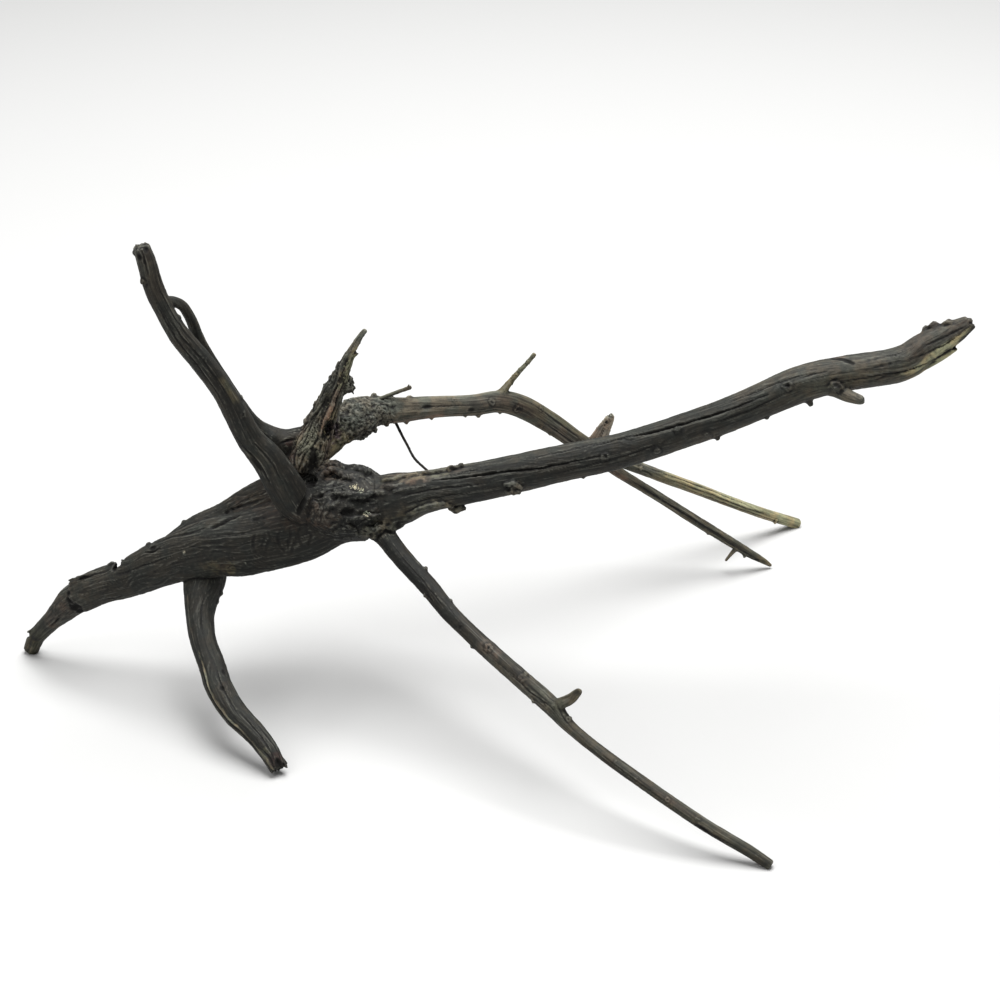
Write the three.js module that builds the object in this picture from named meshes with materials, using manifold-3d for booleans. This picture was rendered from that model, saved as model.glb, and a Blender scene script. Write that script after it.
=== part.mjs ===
// Aquarium root wood: one grown, branching piece of dark driftwood, split at its main forks.
// Millimetres, +Z up. +X runs along the long branch, +Y to the back, and the feet stand on Z = 0.
import * as THREE from "three";
import { mergeVertices } from "three/addons/utils/BufferGeometryUtils.js";
import Module from "manifold-3d";

const wasm = await Module();
wasm.setup();

// Driving dimensions
const FORK_GAP = 0.3;
const RING_STEP = 10;
const TWIG_RING_STEP = 10;
const SPUR_SIDES = 5;
const END_FRACTION = 0.001;
const MERGE_DISTANCE = 1e-4;
// The waves of weathered wood, each [share, lobes around the limb, length along it, phase factor].
const WEATHERING_WAVES = [[0.5, 3, 60, 1], [0.35, 5, -45, 2], [0.45, 0, 17, 1], [0.3, 1, 7.3, 3]];
const GROUND_SIZE = 900;
const GROUND_DEPTH = 60;
const FOOTPRINT_MIDDLE = [-0.4, -3.2];
// Flattened limbs are thinnest along this direction, which leans back and down.
const DEPTH_DIRECTION = new THREE.Vector3(0, 0.883, -0.469);

const CROWN_MIDDLE = [-93, 4, 140];
const CROWN_HALF_SIZE = [36, 30, 24];
const CROWN_DETAIL = 5;
const CROWN_GNARL_HEIGHT = 1.6;
// How quickly the crown's gnarls repeat along each axis, and where they start.
const CROWN_GNARL_TURNS = [7, 8, 7];
const CROWN_GNARL_SHIFT = [2, 1, 0];

// Every route below is a list of stations [x, y, z, half width, half depth].
// The stations of the left root: the front strand reaches the ground, and the rear one is fused behind it.
const LEFT_ROOT_FRONT = [
  [-95, -2, 135, 20, 12.5], [-123, -6, 122, 22, 13], [-158, -8, 113, 22.5, 13], [-176, -8, 110, 22, 12.5],
  [-194, -6, 105, 19.8, 12], [-212, -3, 97, 16.8, 11.5], [-231, 1, 87, 15.2, 11], [-250, 5, 76, 13.8, 10.5],
  [-270, 9, 67, 13, 11], [-287, 13, 57, 12.5, 10.5], [-300, 16, 44, 8.8, 8], [-314, 21, 28, 7.2, 6.8],
  [-328, 28, 2, 6, 6],
];
const LEFT_ROOT_REAR = [
  [-113, 12, 144, 14, 11], [-134, 14, 139, 15.5, 12.5], [-152, 14, 132, 15.5, 11.5], [-177, 12, 119, 13, 9],
  [-195, 9, 113, 11, 8], [-211, 6, 105, 8.5, 6], [-225, 4, 98, 5, 4],
];
const LONG_BRANCH = [
  [-72, 0, 139, 18.5, 16], [-52, -4, 145, 18, 16], [-35, -7, 152, 15, 14.5], [0, -10, 161, 13.6, 13],
  [51, -16, 177, 12.6, 12.6], [102, -20, 192, 12, 12], [151, -24, 212, 11.5, 12], [184, -25, 227, 11.3, 12],
  [217, -25, 243, 12.2, 12], [248, -23, 250, 12, 11], [283, -20, 255, 11.8, 9.8], [299, -18, 266, 10.4, 8],
  [315, -16, 275, 8.6, 6], [325, -15, 281, 6, 4], [330, -14, 284, 4, 2.6],
];
const LONG_BRANCH_SLIVER = [
  [262, -21, 246, 5.5, 4.5], [286, -22, 250, 4.2, 3.6], [299, -22, 256, 3.8, 2.6], [310, -21, 262, 3.4, 2],
  [320, -20, 267, 1.4, 1],
];
const LONG_BRANCH_STUB = [
  [238, -29, 242, 5.5, 5], [246, -36, 240, 4.6, 4.2], [254, -41, 239, 3.6, 3],
];
const FRONT_HORN = [
  [-118, -10, 137, 9, 9], [-126, -14, 152, 13, 12], [-139, -19, 181, 11.4, 11], [-151, -22, 200, 9.4, 9.4],
  [-161, -25, 224, 8.2, 8.2], [-169, -27, 242, 7.4, 7.4], [-180, -29, 261, 7.5, 7.5], [-192, -31, 279, 7.3, 7.3],
  [-201, -32, 298, 6.5, 6.6], [-207, -33, 315, 6.6, 6.4], [-210, -34, 333, 6.1, 6], [-213, -35, 346, 5.3, 5.2],
];
const REAR_HORN = [
  [-127, 26, 159, 13.5, 13], [-139, 21, 175, 10.6, 10.6], [-153, 16, 191, 6.8, 6.8], [-163, 10, 211, 5.7, 5.7],
  [-172, 4, 232, 5.2, 5.2], [-179, -3, 251, 4.9, 4.9], [-184, -9, 268, 4.3, 4.3], [-187, -14, 284, 3.8, 3.8],
  [-191, -19, 296, 3.6, 3.6], [-196, -25, 302, 3.6, 3.6], [-201, -31, 305, 3.4, 3.4],
];
const HORN_SADDLE = [
  [-143, 17, 183, 5, 5], [-133, 20, 179, 7, 7], [-118, 20, 181, 7.6, 7],
];
const STUMP = [
  [-118, 12, 160, 14.5, 11.5], [-115, 15, 175, 13.2, 10], [-109, 18, 192, 11, 8.5], [-102, 20, 208, 9.4, 6.8],
  [-96, 22, 223, 7.2, 5.2], [-90, 23, 236, 5.4, 4.2], [-84, 24, 247, 4, 3], [-79, 25, 255, 2.5, 2.2],
  [-74, 26, 260, 1.5, 1.4],
];
const STUMP_KNOB = [
  [-99, 24, 213, 5, 5], [-91, 24, 218, 5, 5], [-84, 22, 221, 5.2, 4.6],
];
const BACK_BRANCH = [
  [-111, 16, 167, 6.3, 6.3], [-104, 26, 171, 7.3, 7.3], [-95, 36, 179, 10.8, 10], [-85, 44, 183, 15.2, 12.6],
  [-72, 54, 184, 11, 10], [-54, 62, 182, 8.8, 8.8], [-37, 70, 180, 7.8, 7.6], [-19, 79, 177, 7.5, 7.5],
  [-1, 88, 174, 7.9, 7.8], [17, 97, 172, 8.3, 8.2], [34, 105, 164, 8.6, 8.2], [54, 114, 147, 7.8, 7.8],
  [73, 122, 129, 7, 7], [86, 127, 118, 6.4, 6.4],
];
const BACK_BRANCH_NEAR_TWIG = [
  [-80, 50, 190, 2.2, 2.2], [-68, 55, 194, 1.7, 1.7], [-57, 59, 197, 1.4, 1.4], [-48, 62, 199, 1.4, 1.4],
];
const BACK_BRANCH_FAR_TWIG = [
  [16, 97, 174, 4, 4], [21, 99, 182, 2.7, 2.6], [30, 103, 192, 1.9, 1.9], [37, 106, 199, 1.6, 1.6],
  [43, 108, 206, 1.6, 1.6],
];
const BACK_BRANCH_ROOTLET = [
  [-61, 60, 180, 1.1, 1.1], [-54, 56, 167, 1, 1], [-49, 51, 159, 1, 1], [-44, 45, 152, 0.9, 0.9],
  [-36, 38, 147, 0.9, 0.9], [-30, 31, 145, 0.9, 0.9],
];
const BACK_BRANCH_SPLINTER = [
  [88, 126, 120, 7.5, 3], [95, 126, 134, 5, 2.1], [99, 126, 145, 2, 1],
];
const BACK_LEG = [
  [82, 126, 120, 6, 6], [108, 138, 103, 5.2, 5.2], [132, 152, 86, 4.7, 4.7], [174, 177, 57, 4.5, 4.5],
  [218, 201, 27, 4.4, 4.4], [260, 223, 1.5, 4.3, 4.3],
];
const BACK_SPEAR = [
  [83, 124, 120, 5.3, 5.3], [102, 129, 101, 4.3, 4.3], [132, 136, 77, 3.9, 3.9], [172, 143, 46, 4, 4],
  [209, 149, 18, 3.6, 3.6], [223, 152, 8, 2.7, 2.7], [231, 153, 2, 1.2, 1.2],
];
const BACK_SPEAR_TWIG = [
  [202, 148, 21, 2, 2], [198, 149, 15, 1.5, 1.5], [194, 150, 8, 1, 1],
];
const RIGHT_LEG = [
  [-70, -8, 127, 8.8, 8.8], [-63, -16, 123, 7.8, 7.8], [-52, -30, 115, 6.8, 6.8], [-34, -48, 103, 6.4, 6.4],
  [-17, -67, 91, 6.1, 6.1], [0, -86, 83, 6, 6], [34, -121, 69, 6.2, 6.2], [51, -138, 62, 6.1, 6.1],
  [65, -153, 53, 4.3, 4.3], [98, -180, 40, 4.1, 4.1], [145, -210, 21, 4, 4], [176, -224, 8, 3.9, 3.9],
  [189, -230, 1.6, 3.5, 3.5],
];
const RIGHT_LEG_SPUR = [
  [51, -139, 62, 4.5, 4.5], [58, -142, 69, 3.7, 3.4], [64, -145, 74, 3, 2.4], [70, -147, 79, 1.8, 1.4],
];
const LEFT_LEG = [
  [-192, -6, 96, 15, 12.5], [-194, -16, 87, 15, 13], [-193, -26, 80, 12.2, 10.7], [-193, -37, 70, 9.8, 9],
  [-190, -50, 59, 9.2, 8.3], [-183, -64, 48, 9.2, 8.3], [-176, -79, 38, 9.4, 8.5], [-164, -95, 28, 8.8, 8.2],
  [-151, -108, 22, 8, 7.6], [-139, -120, 14, 7.6, 7.2], [-131, -130, 3, 6.4, 5.8],
];

// Solid helpers

// Turns a closed geometry into a solid that can be joined and cut.
function toSolid(geometry) {
  const bare = geometry.clone();
  bare.deleteAttribute("normal");
  bare.deleteAttribute("uv");
  const merged = mergeVertices(bare, MERGE_DISTANCE);
  const mesh = new wasm.Mesh({
    numProp: 3,
    vertProperties: new Float32Array(merged.attributes.position.array),
    triVerts: new Uint32Array(merged.index.array),
  });
  return new wasm.Manifold(mesh);
}

function toGeometry(solid) {
  const mesh = solid.getMesh();
  const geometry = new THREE.BufferGeometry();
  geometry.setAttribute("position", new THREE.BufferAttribute(mesh.vertProperties, 3));
  geometry.setIndex(new THREE.BufferAttribute(mesh.triVerts, 1));
  geometry.computeVertexNormals();
  return geometry;
}

function join(solids) {
  return solids.reduce((whole, solid) => whole.add(solid));
}

// Weathered wood's flutes and swellings, as a factor on a radius.
function weathering(angle, distance, phase, roughness) {
  const wave = WEATHERING_WAVES.reduce((sum, [share, lobes, length, shift]) => (
    sum + share * Math.sin(lobes * angle + distance / length + shift * phase)), 0);
  return 1 + roughness * wave;
}

// How far a ring moves along its strand when the strand grows: only the end rings do.
function endPush(fraction, grow) {
  if (fraction < END_FRACTION) return -grow;
  return fraction > 1 - END_FRACTION ? grow : 0;
}

// A closed tube through stations, with a lumpy, slightly fluted section.
class Strand {
  constructor(stations, sides, phase, roughness, step = RING_STEP) {
    this.stations = stations;
    this.sides = sides;
    this.phase = phase;
    this.roughness = roughness;
    const points = stations.map(([x, y, z]) => new THREE.Vector3(x, y, z));
    this.curve = new THREE.CatmullRomCurve3(points, false, "catmullrom", 0.5);
    this.length = this.curve.getLength();
    this.rings = Math.max(3, Math.round(this.length / step));
  }

  // The half width or half depth between stations; `place` counts stations from 0.
  sizeAt(place, column) {
    const last = this.stations.length - 1;
    const index = Math.min(Math.floor(place), last - 1);
    return THREE.MathUtils.lerp(this.stations[index][column], this.stations[index + 1][column], place - index);
  }

  // The strand's own axes at a place: along it, across its width, and through its depth.
  axesAt(place) {
    const t = place / (this.stations.length - 1);
    const along = this.curve.getTangent(t);
    const depth = DEPTH_DIRECTION.clone().addScaledVector(along, -DEPTH_DIRECTION.dot(along)).normalize();
    const width = new THREE.Vector3().crossVectors(along, depth);
    return { middle: this.curve.getPoint(t), along, width, depth };
  }

  // A point on the surface, at an angle turning from the width direction to the depth direction.
  surfaceAt(place, angle, grow = 0) {
    const { middle, along, width, depth } = this.axesAt(place);
    const distance = place / (this.stations.length - 1) * this.length;
    const factor = weathering(angle, distance, this.phase, this.roughness);
    const across = Math.cos(angle) * (this.sizeAt(place, 3) * factor + grow);
    const through = Math.sin(angle) * (this.sizeAt(place, 4) * factor + grow);
    const out = new THREE.Vector3().addScaledVector(width, across).addScaledVector(depth, through);
    return { point: middle.clone().add(out), out: out.clone().normalize(), along };
  }

  solid(grow = 0) {
    const geometry = new THREE.CylinderGeometry(1, 1, 1, this.sides, this.rings);
    const position = geometry.attributes.position;
    for (let i = 0; i < position.count; i += 1) {
      const fraction = THREE.MathUtils.clamp(position.getY(i) + 0.5, 0, 1);
      const place = this.curve.getUtoTmapping(fraction) * (this.stations.length - 1);
      const { middle, along } = this.axesAt(place);
      const reach = Math.hypot(position.getX(i), position.getZ(i));
      const angle = Math.atan2(position.getZ(i), position.getX(i));
      const edge = this.surfaceAt(place, angle, grow).point;
      const moved = middle.clone().lerp(edge, reach);
      moved.addScaledVector(along, endPush(fraction, grow));
      position.setXYZ(i, moved.x, moved.y, moved.z);
    }
    return toSolid(geometry);
  }
}

// A nub, thorn or flake on a strand. `lean` tips it along the strand, and a negative one tips it back.
function spur(strand, place, degrees, length, base, tip, lean = 0, grow = 0) {
  const { point, out, along } = strand.surfaceAt(place, THREE.MathUtils.degToRad(degrees));
  const direction = out.clone().addScaledVector(along, lean).normalize();
  const root = point.clone().addScaledVector(direction, -base);
  const geometry = new THREE.CylinderGeometry(tip + grow, base + grow, length + base + 2 * grow, SPUR_SIDES);
  geometry.translate(0, (length + base) / 2, 0);
  geometry.applyQuaternion(new THREE.Quaternion().setFromUnitVectors(new THREE.Vector3(0, 1, 0), direction));
  geometry.translate(root.x, root.y, root.z);
  return toSolid(geometry);
}

// A rounded pit, stretched along the strand.
function pit(strand, place, degrees, radius, stretch) {
  const { point, along } = strand.surfaceAt(place, THREE.MathUtils.degToRad(degrees));
  const geometry = new THREE.IcosahedronGeometry(radius, 0);
  geometry.scale(1, stretch, 1);
  geometry.applyQuaternion(new THREE.Quaternion().setFromUnitVectors(new THREE.Vector3(0, 1, 0), along));
  geometry.translate(point.x, point.y, point.z);
  return toSolid(geometry);
}

// A limb is its strands and spurs fused, with its pits taken out.
class Limb {
  constructor({ name, colour, roughness, strands, spurs = [], pits = [] }) {
    this.name = name;
    this.material = new THREE.MeshStandardMaterial({ color: colour, roughness, metalness: 0 });
    this.strands = strands;
    this.spurs = spurs;
    this.pits = pits;
  }

  solid(grow = 0) {
    const tubes = this.strands.map((strand) => strand.solid(grow));
    const bumps = this.spurs.map(([index, place, degrees, length, base, tip, lean]) => (
      spur(this.strands[index], place, degrees, length, base, tip, lean, grow)));
    return join([...tubes, ...bumps]);
  }

  pitted(solid) {
    return this.pits.reduce((rest, [index, place, degrees, radius, stretch]) => (
      rest.subtract(pit(this.strands[index], place, degrees, radius, stretch))), solid);
  }
}

// The crown: a lumpy knot, whose bosses are [direction, height, narrowness].
const CROWN_BOSSES = [
  [[-0.4, 0.1, 0.9], 2.5, 14], [[0.1, 0.2, 1], 1.5, 30], [[0.45, -0.6, -0.7], 6, 12],
  [[0.1, -1, 0.35], 2.5, 10], [[-0.3, -0.9, 0.1], 2, 14], [[0.3, 1, 0.1], 4, 8], [[-0.5, 0.8, -0.3], 3, 10],
  [[0.9, 0.3, -0.3], 3, 12], [[0, 0.3, -1], 3, 8],
];
// The crown's pits, each [direction, radius, sideways stretch].
const CROWN_PITS = [
  [[3, -29, 5], 4.2, 1.5], [[23, -23, 5], 3.4, 2.6], [[-24, -8, 20], 6, 1], [[-6, -22, -17], 3, 3],
  [[10, 26, -8], 4, 1.6],
];

function crownReach(direction) {
  const [a, b, c] = CROWN_HALF_SIZE;
  const ellipsoid = 1 / Math.hypot(direction.x / a, direction.y / b, direction.z / c);
  const bosses = CROWN_BOSSES.reduce((sum, [axis, height, narrowness]) => {
    const facing = new THREE.Vector3(...axis).normalize().dot(direction);
    return sum + height * Math.exp(narrowness * (facing - 1));
  }, 0);
  const gnarl = direction.toArray().reduce((product, value, axis) => (
    product * Math.sin(CROWN_GNARL_TURNS[axis] * value + CROWN_GNARL_SHIFT[axis])), CROWN_GNARL_HEIGHT);
  return ellipsoid + bosses + gnarl;
}

function crownSolid(grow = 0) {
  const geometry = new THREE.IcosahedronGeometry(1, CROWN_DETAIL);
  const position = geometry.attributes.position;
  for (let i = 0; i < position.count; i += 1) {
    const direction = new THREE.Vector3().fromBufferAttribute(position, i).normalize();
    direction.multiplyScalar(crownReach(direction) + grow);
    position.setXYZ(i, direction.x, direction.y, direction.z);
  }
  geometry.translate(...CROWN_MIDDLE);
  return toSolid(geometry);
}

function crownPitted(solid) {
  return CROWN_PITS.reduce((rest, [axis, radius, stretch]) => {
    const direction = new THREE.Vector3(...axis).normalize();
    const place = new THREE.Vector3(...CROWN_MIDDLE).addScaledVector(direction, crownReach(direction));
    const geometry = new THREE.IcosahedronGeometry(radius, 0);
    geometry.scale(stretch, 1, 1);
    geometry.translate(place.x, place.y, place.z);
    return rest.subtract(toSolid(geometry));
  }, solid);
}

// Limbs
// A spur is [strand, station, degrees, length, base radius, tip radius, lean]: 0 degrees is the limb's width
// direction, and 90 its depth direction. A pit is [strand, station, degrees, radius, stretch].
const leftRoot = new Limb({
  name: "left_root",
  colour: 0x3a3a36,
  roughness: 0.9,
  strands: [
    new Strand(LEFT_ROOT_FRONT, 11, 0.4, 0.05),
    new Strand(LEFT_ROOT_REAR, 9, 2.1, 0.05),
  ],
  spurs: [
    [0, 7.35, 180, 4.5, 3.6, 0.6, -1.6],
    [0, 5.9, 178, 1.6, 2.4, 1.4, 0],
    [1, 4.4, 180, 1.4, 2.5, 1.2, 0.5],
    [0, 3.2, 75, 3, 3.5, 2, 0],
  ],
  pits: [
    [0, 7.05, 180, 3, 0.7],
    [0, 9.9, -70, 1.6, 1],
    [0, 10.1, -30, 2.2, 1.6],
    [0, 2.6, 95, 3.5, 2.4],
  ],
});

const frontHorn = new Limb({
  name: "front_horn",
  colour: 0x45443e,
  roughness: 0.85,
  strands: [new Strand(FRONT_HORN, 9, 1.3, 0.05)],
  spurs: [
    [0, 9.35, 0, 2, 2, 1.2, 0],
    [0, 4.3, 180, 1.4, 2.6, 1.4, 0],
    [0, 3.2, 95, 2.2, 2.4, 1.2, 0],
  ],
  pits: [
    [0, 10.4, -120, 1.4, 1.4],
    [0, 2.4, -150, 1.8, 2.4],
  ],
});

const rearHorn = new Limb({
  name: "rear_horn",
  colour: 0x3d3c38,
  roughness: 0.88,
  strands: [
    new Strand(REAR_HORN, 8, 2.6, 0.05),
    new Strand(HORN_SADDLE, 7, 0.9, 0.05),
  ],
  spurs: [
    [0, 2.4, 100, 2.2, 2.4, 1.2, 0.3],
  ],
});

const stump = new Limb({
  name: "splintered_stump",
  colour: 0x4f4a41,
  roughness: 0.92,
  strands: [
    new Strand(STUMP, 9, 0.2, 0.07, 7),
    new Strand(STUMP_KNOB, 6, 1.9, 0.08, 5),
  ],
  spurs: [
    [0, 1.9, 0, 1.6, 2.8, 1, 0.4],
    [0, 2.7, 2, 1.8, 2.4, 0.6, 0.9],
    [0, 3.6, -4, 1.8, 2.2, 0.8, 0.6],
    [0, 4.9, 0, 1.8, 2, 0.5, 1.2],
    [0, 5.7, 176, 2.8, 1.8, 0.5, 0.9],
    [0, 3.6, 92, 2.6, 2.4, 0.8, 0.8],
  ],
  pits: [
    [0, 3, -80, 2, 3],
    [0, 4.6, 60, 1.6, 2.6],
  ],
});

const backBranch = new Limb({
  name: "back_branch",
  colour: 0x4a4740,
  roughness: 0.9,
  strands: [
    new Strand(BACK_BRANCH, 9, 1.1, 0.07, 8),
    new Strand(BACK_BRANCH_NEAR_TWIG, 5, 0.3, 0.04, TWIG_RING_STEP),
    new Strand(BACK_BRANCH_FAR_TWIG, 5, 1.7, 0.04, TWIG_RING_STEP),
    new Strand(BACK_BRANCH_ROOTLET, 5, 0.8, 0.03, 7),
    new Strand(BACK_BRANCH_SPLINTER, 6, 2.2, 0.05, 7),
  ],
  spurs: [
    [0, 3.1, 30, 2, 4, 2, 0.2],
    [0, 3.7, 175, 2.2, 3, 1.2, 0.4],
    [0, 2.7, 150, 2.6, 3, 1.4, 0],
    [0, 5.2, 182, 2, 2, 1, 0],
    [0, 8.1, 178, 2, 2.2, 1.2, 0],
    [0, 3.3, 95, 3, 4, 2, 0],
  ],
  pits: [
    [0, 3.2, -100, 3, 1.6],
    [0, 2.4, -60, 3, 1.2],
  ],
});

const backLeg = new Limb({
  name: "back_leg",
  colour: 0x6b6654,
  roughness: 0.85,
  strands: [new Strand(BACK_LEG, 7, 0.6, 0.04, 14)],
  spurs: [
    [0, 3.5, 180, 1.6, 1.8, 1.1, 0],
  ],
});

const backSpear = new Limb({
  name: "back_spear",
  colour: 0x48453b,
  roughness: 0.88,
  strands: [
    new Strand(BACK_SPEAR, 7, 1.5, 0.04, 14),
    new Strand(BACK_SPEAR_TWIG, 5, 0.4, 0.04, 6),
  ],
  spurs: [
    [0, 4.3, 180, 2, 1.8, 0.9, 0.4],
  ],
});

const longBranch = new Limb({
  name: "long_branch",
  colour: 0x383834,
  roughness: 0.88,
  strands: [
    new Strand(LONG_BRANCH, 10, 0.9, 0.04, 11),
    new Strand(LONG_BRANCH_SLIVER, 6, 0.5, 0.05),
    new Strand(LONG_BRANCH_STUB, 6, 1.2, 0.05, 5),
  ],
  spurs: [
    [0, 2.74, 180, 2.8, 2.6, 1.6, 0],
    [0, 3.5, 182, 2, 2.4, 1.6, 0],
    [0, 4.72, 200, 1.6, 2.2, 1.6, 0],
    [0, 5.4, 215, 2, 2.6, 1.6, 0],
    [0, 6.22, 182, 2, 2, 1.2, 0],
    [0, 7.95, 180, 3.2, 2.4, 1.2, 0.2],
    [0, 8.75, 222, 2.4, 3.8, 2.6, 0],
    [0, 11.6, 6, 3, 3.4, 2.2, 0],
    [0, 12.1, -4, 2.6, 3, 1.8, 0],
    [0, 4.2, 60, 2.4, 2.4, 1.4, 0],
    [0, 6.6, 95, 2.6, 2.6, 1.4, 0],
  ],
  pits: [
    [0, 7.75, -110, 1.6, 1],
    [0, 9.1, -15, 1.6, 4],
    [0, 3.4, 110, 2, 3],
  ],
});

const rightLeg = new Limb({
  name: "right_leg",
  colour: 0x42413b,
  roughness: 0.88,
  strands: [
    new Strand(RIGHT_LEG, 8, 2.3, 0.05, 13),
    new Strand(RIGHT_LEG_SPUR, 6, 0.7, 0.05, 6),
  ],
  spurs: [
    [0, 2.95, 0, 1.6, 1.8, 1, 0],
    [0, 3.2, 180, 1.8, 1.8, 1, 0],
    [0, 4.5, 2, 1.8, 2, 1.2, 0],
    [0, 5.25, 180, 1.8, 2, 1.2, 0],
    [0, 6.55, 178, 1.8, 2, 1.2, 0],
    [0, 7.7, 180, 1.8, 1.8, 1, 0],
    [1, 2.1, 0, 2, 1.6, 0.8, 0],
  ],
  pits: [[0, 4.3, -90, 1.3, 1.2]],
});

const leftLeg = new Limb({
  name: "left_leg",
  colour: 0x3e3e39,
  roughness: 0.9,
  strands: [new Strand(LEFT_LEG, 9, 0.1, 0.06)],
  spurs: [
    [0, 9.7, 20, 2, 2.2, 0.8, 2],
    [0, 4.6, 100, 2, 2.4, 1.4, 0],
  ],
  pits: [
    [0, 10, -60, 2.4, 1.6],
    [0, 1.6, -20, 1.6, 2],
  ],
});

// Assembly

const ground = toSolid(
  new THREE.BoxGeometry(GROUND_SIZE, GROUND_SIZE, GROUND_DEPTH).translate(0, 0, -GROUND_DEPTH / 2),
);

// Each limb stops at the limbs that it grows from or leans on.
const FORKS = [
  [leftRoot, []],
  [frontHorn, [leftRoot]],
  [rearHorn, [leftRoot, frontHorn]],
  [stump, [leftRoot, frontHorn, rearHorn]],
  [backBranch, [stump, rearHorn]],
  [backLeg, [backBranch]],
  [backSpear, [backBranch, backLeg]],
  [longBranch, [leftRoot]],
  [rightLeg, [leftRoot, longBranch]],
  [leftLeg, [leftRoot]],
];

function biggestPiece(solid) {
  const pieces = solid.decompose();
  return pieces.reduce((best, piece) => (piece.volume() > best.volume() ? piece : best));
}

function addPiece(group, name, material, solid) {
  const mesh = new THREE.Mesh(toGeometry(biggestPiece(solid)), material);
  mesh.name = name;
  group.add(mesh);
}

const group = new THREE.Group();
const crownMaterial = new THREE.MeshStandardMaterial({ color: 0x393733, roughness: 0.92, metalness: 0 });
addPiece(group, "crown", crownMaterial, crownPitted(crownSolid()));
for (const [limb, neighbours] of FORKS) {
  const stops = [crownSolid(FORK_GAP), ...neighbours.map((neighbour) => neighbour.solid(FORK_GAP)), ground];
  const trimmed = stops.reduce((rest, stop) => rest.subtract(stop), limb.solid());
  addPiece(group, limb.name, limb.material, limb.pitted(trimmed));
}
group.position.set(-FOOTPRINT_MIDDLE[0], -FOOTPRINT_MIDDLE[1], 0);

export default group;
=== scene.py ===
import itertools
import logging
import math
from collections.abc import Callable
from concurrent.futures import ThreadPoolExecutor
from dataclasses import dataclass
from enum import Enum

import bpy
import numpy as np
import openvdb
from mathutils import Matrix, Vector


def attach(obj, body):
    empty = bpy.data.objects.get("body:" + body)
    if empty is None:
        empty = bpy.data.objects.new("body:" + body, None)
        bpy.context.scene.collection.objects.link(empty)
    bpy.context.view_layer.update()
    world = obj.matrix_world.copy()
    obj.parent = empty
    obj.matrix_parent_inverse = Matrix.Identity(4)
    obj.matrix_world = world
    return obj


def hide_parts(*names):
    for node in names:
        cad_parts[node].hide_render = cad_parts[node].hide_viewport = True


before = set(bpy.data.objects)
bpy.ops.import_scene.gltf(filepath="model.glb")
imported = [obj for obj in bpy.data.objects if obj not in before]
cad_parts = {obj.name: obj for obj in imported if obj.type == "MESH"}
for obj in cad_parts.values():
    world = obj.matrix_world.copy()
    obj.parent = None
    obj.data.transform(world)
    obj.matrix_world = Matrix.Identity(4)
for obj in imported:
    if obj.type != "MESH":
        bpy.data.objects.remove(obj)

# Aquarium root wood: one grown piece of dark driftwood. Its limbs are merged into one volume, so that they run into
# each other as grown wood does, and the skin of that volume is then parted at the forks, one piece for each limb.
# Routes and features are in millimetres, and become metres when a mesh is made.

Array = np.ndarray
Colour = tuple[float, float, float]
Place = tuple[float, float, float]
# x, y, z, half width and half depth, which may be left out where it is the same as the half width.
Station = tuple[float, ...]
# Colours at places along a strand.
Fade = tuple[tuple[float, Colour], ...]

MM = 0.001
VOXEL = 0.8
BLOCK = 32
BAND = 3.0
FAR = 1000.0
TINY = 1e-4
SAMPLE_STEP = 1.2
LENGTH_DIVISIONS = 400
CHUNK = 16384
WORKERS = 4
# The routes' own origin, seen from the middle of the finished object's footprint.
ROUTE_SHIFT = np.array([0.4, 3.2, 0.0], np.float32)
# Flattened limbs are thinnest along this direction, which leans back and down.
DEPTH_DIRECTION = np.array([0.0, 0.883, -0.469], np.float32)
# The waves of weathered wood, each a share, lobes around the limb, length along it and phase factor.
WEATHERING_WAVES = ((0.5, 3, 60.0, 1), (0.35, 5, -45.0, 2), (0.45, 0, 17.0, 1), (0.3, 1, 7.3, 3))
EDGE_ROUNDING = 1.2
HOLLOW_ROUNDING = 1.4
GROUND_ROUNDING = 0.4
# The gnarls of the roughest bark, in millimetres.
ROUGHEST = 0.85

log = logging.getLogger("root_wood")


class Slot(Enum):
    """The record's material slots."""

    DARK = "dark_wood"
    GREY = "grey_wood"
    BARK = "rough_bark"
    PALE = "pale_wood"


class Hue(Enum):
    """The hues of weathered wood, each with a lightness of 1. A hue is called with its lightness in thousandths."""

    ASH = (1.01, 1.01, 0.85)
    GREY = (1.06, 1.0, 0.82)
    DUN = (1.08, 1.0, 0.74)
    STRAW = (1.09, 1.01, 0.63)
    ROSE = (1.2, 0.96, 0.8)
    RUST = (1.32, 0.94, 0.72)
    BRICK = (1.73, 0.81, 0.73)
    PLUM = (1.51, 0.81, 1.41)

    def __call__(self, lightness: float) -> Colour:
        """The hue at a lightness."""
        red, green, blue = (part * lightness / 1000 for part in self.value)
        return red, green, blue


ASH, GREY, DUN, STRAW, ROSE, RUST, BRICK, PLUM = Hue


# Numbers: noise, smooth joins and neighbours

# Brings the noise to about -1 to 1.
NOISE_GAIN = 1.2
# How far one seed's pattern is from the next one's.
SEED_SHIFT = 17.31
SHUFFLE = np.random.default_rng(11).permutation(256)
GRADIENTS = np.array([
    (1, 1, 0), (-1, 1, 0), (1, -1, 0), (-1, -1, 0), (1, 0, 1), (-1, 0, 1), (1, 0, -1), (-1, 0, -1),
    (0, 1, 1), (0, -1, 1), (0, 1, -1), (0, -1, -1), (1, 1, 0), (0, -1, 1), (-1, 1, 0), (0, -1, -1),
], np.float32)


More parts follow.
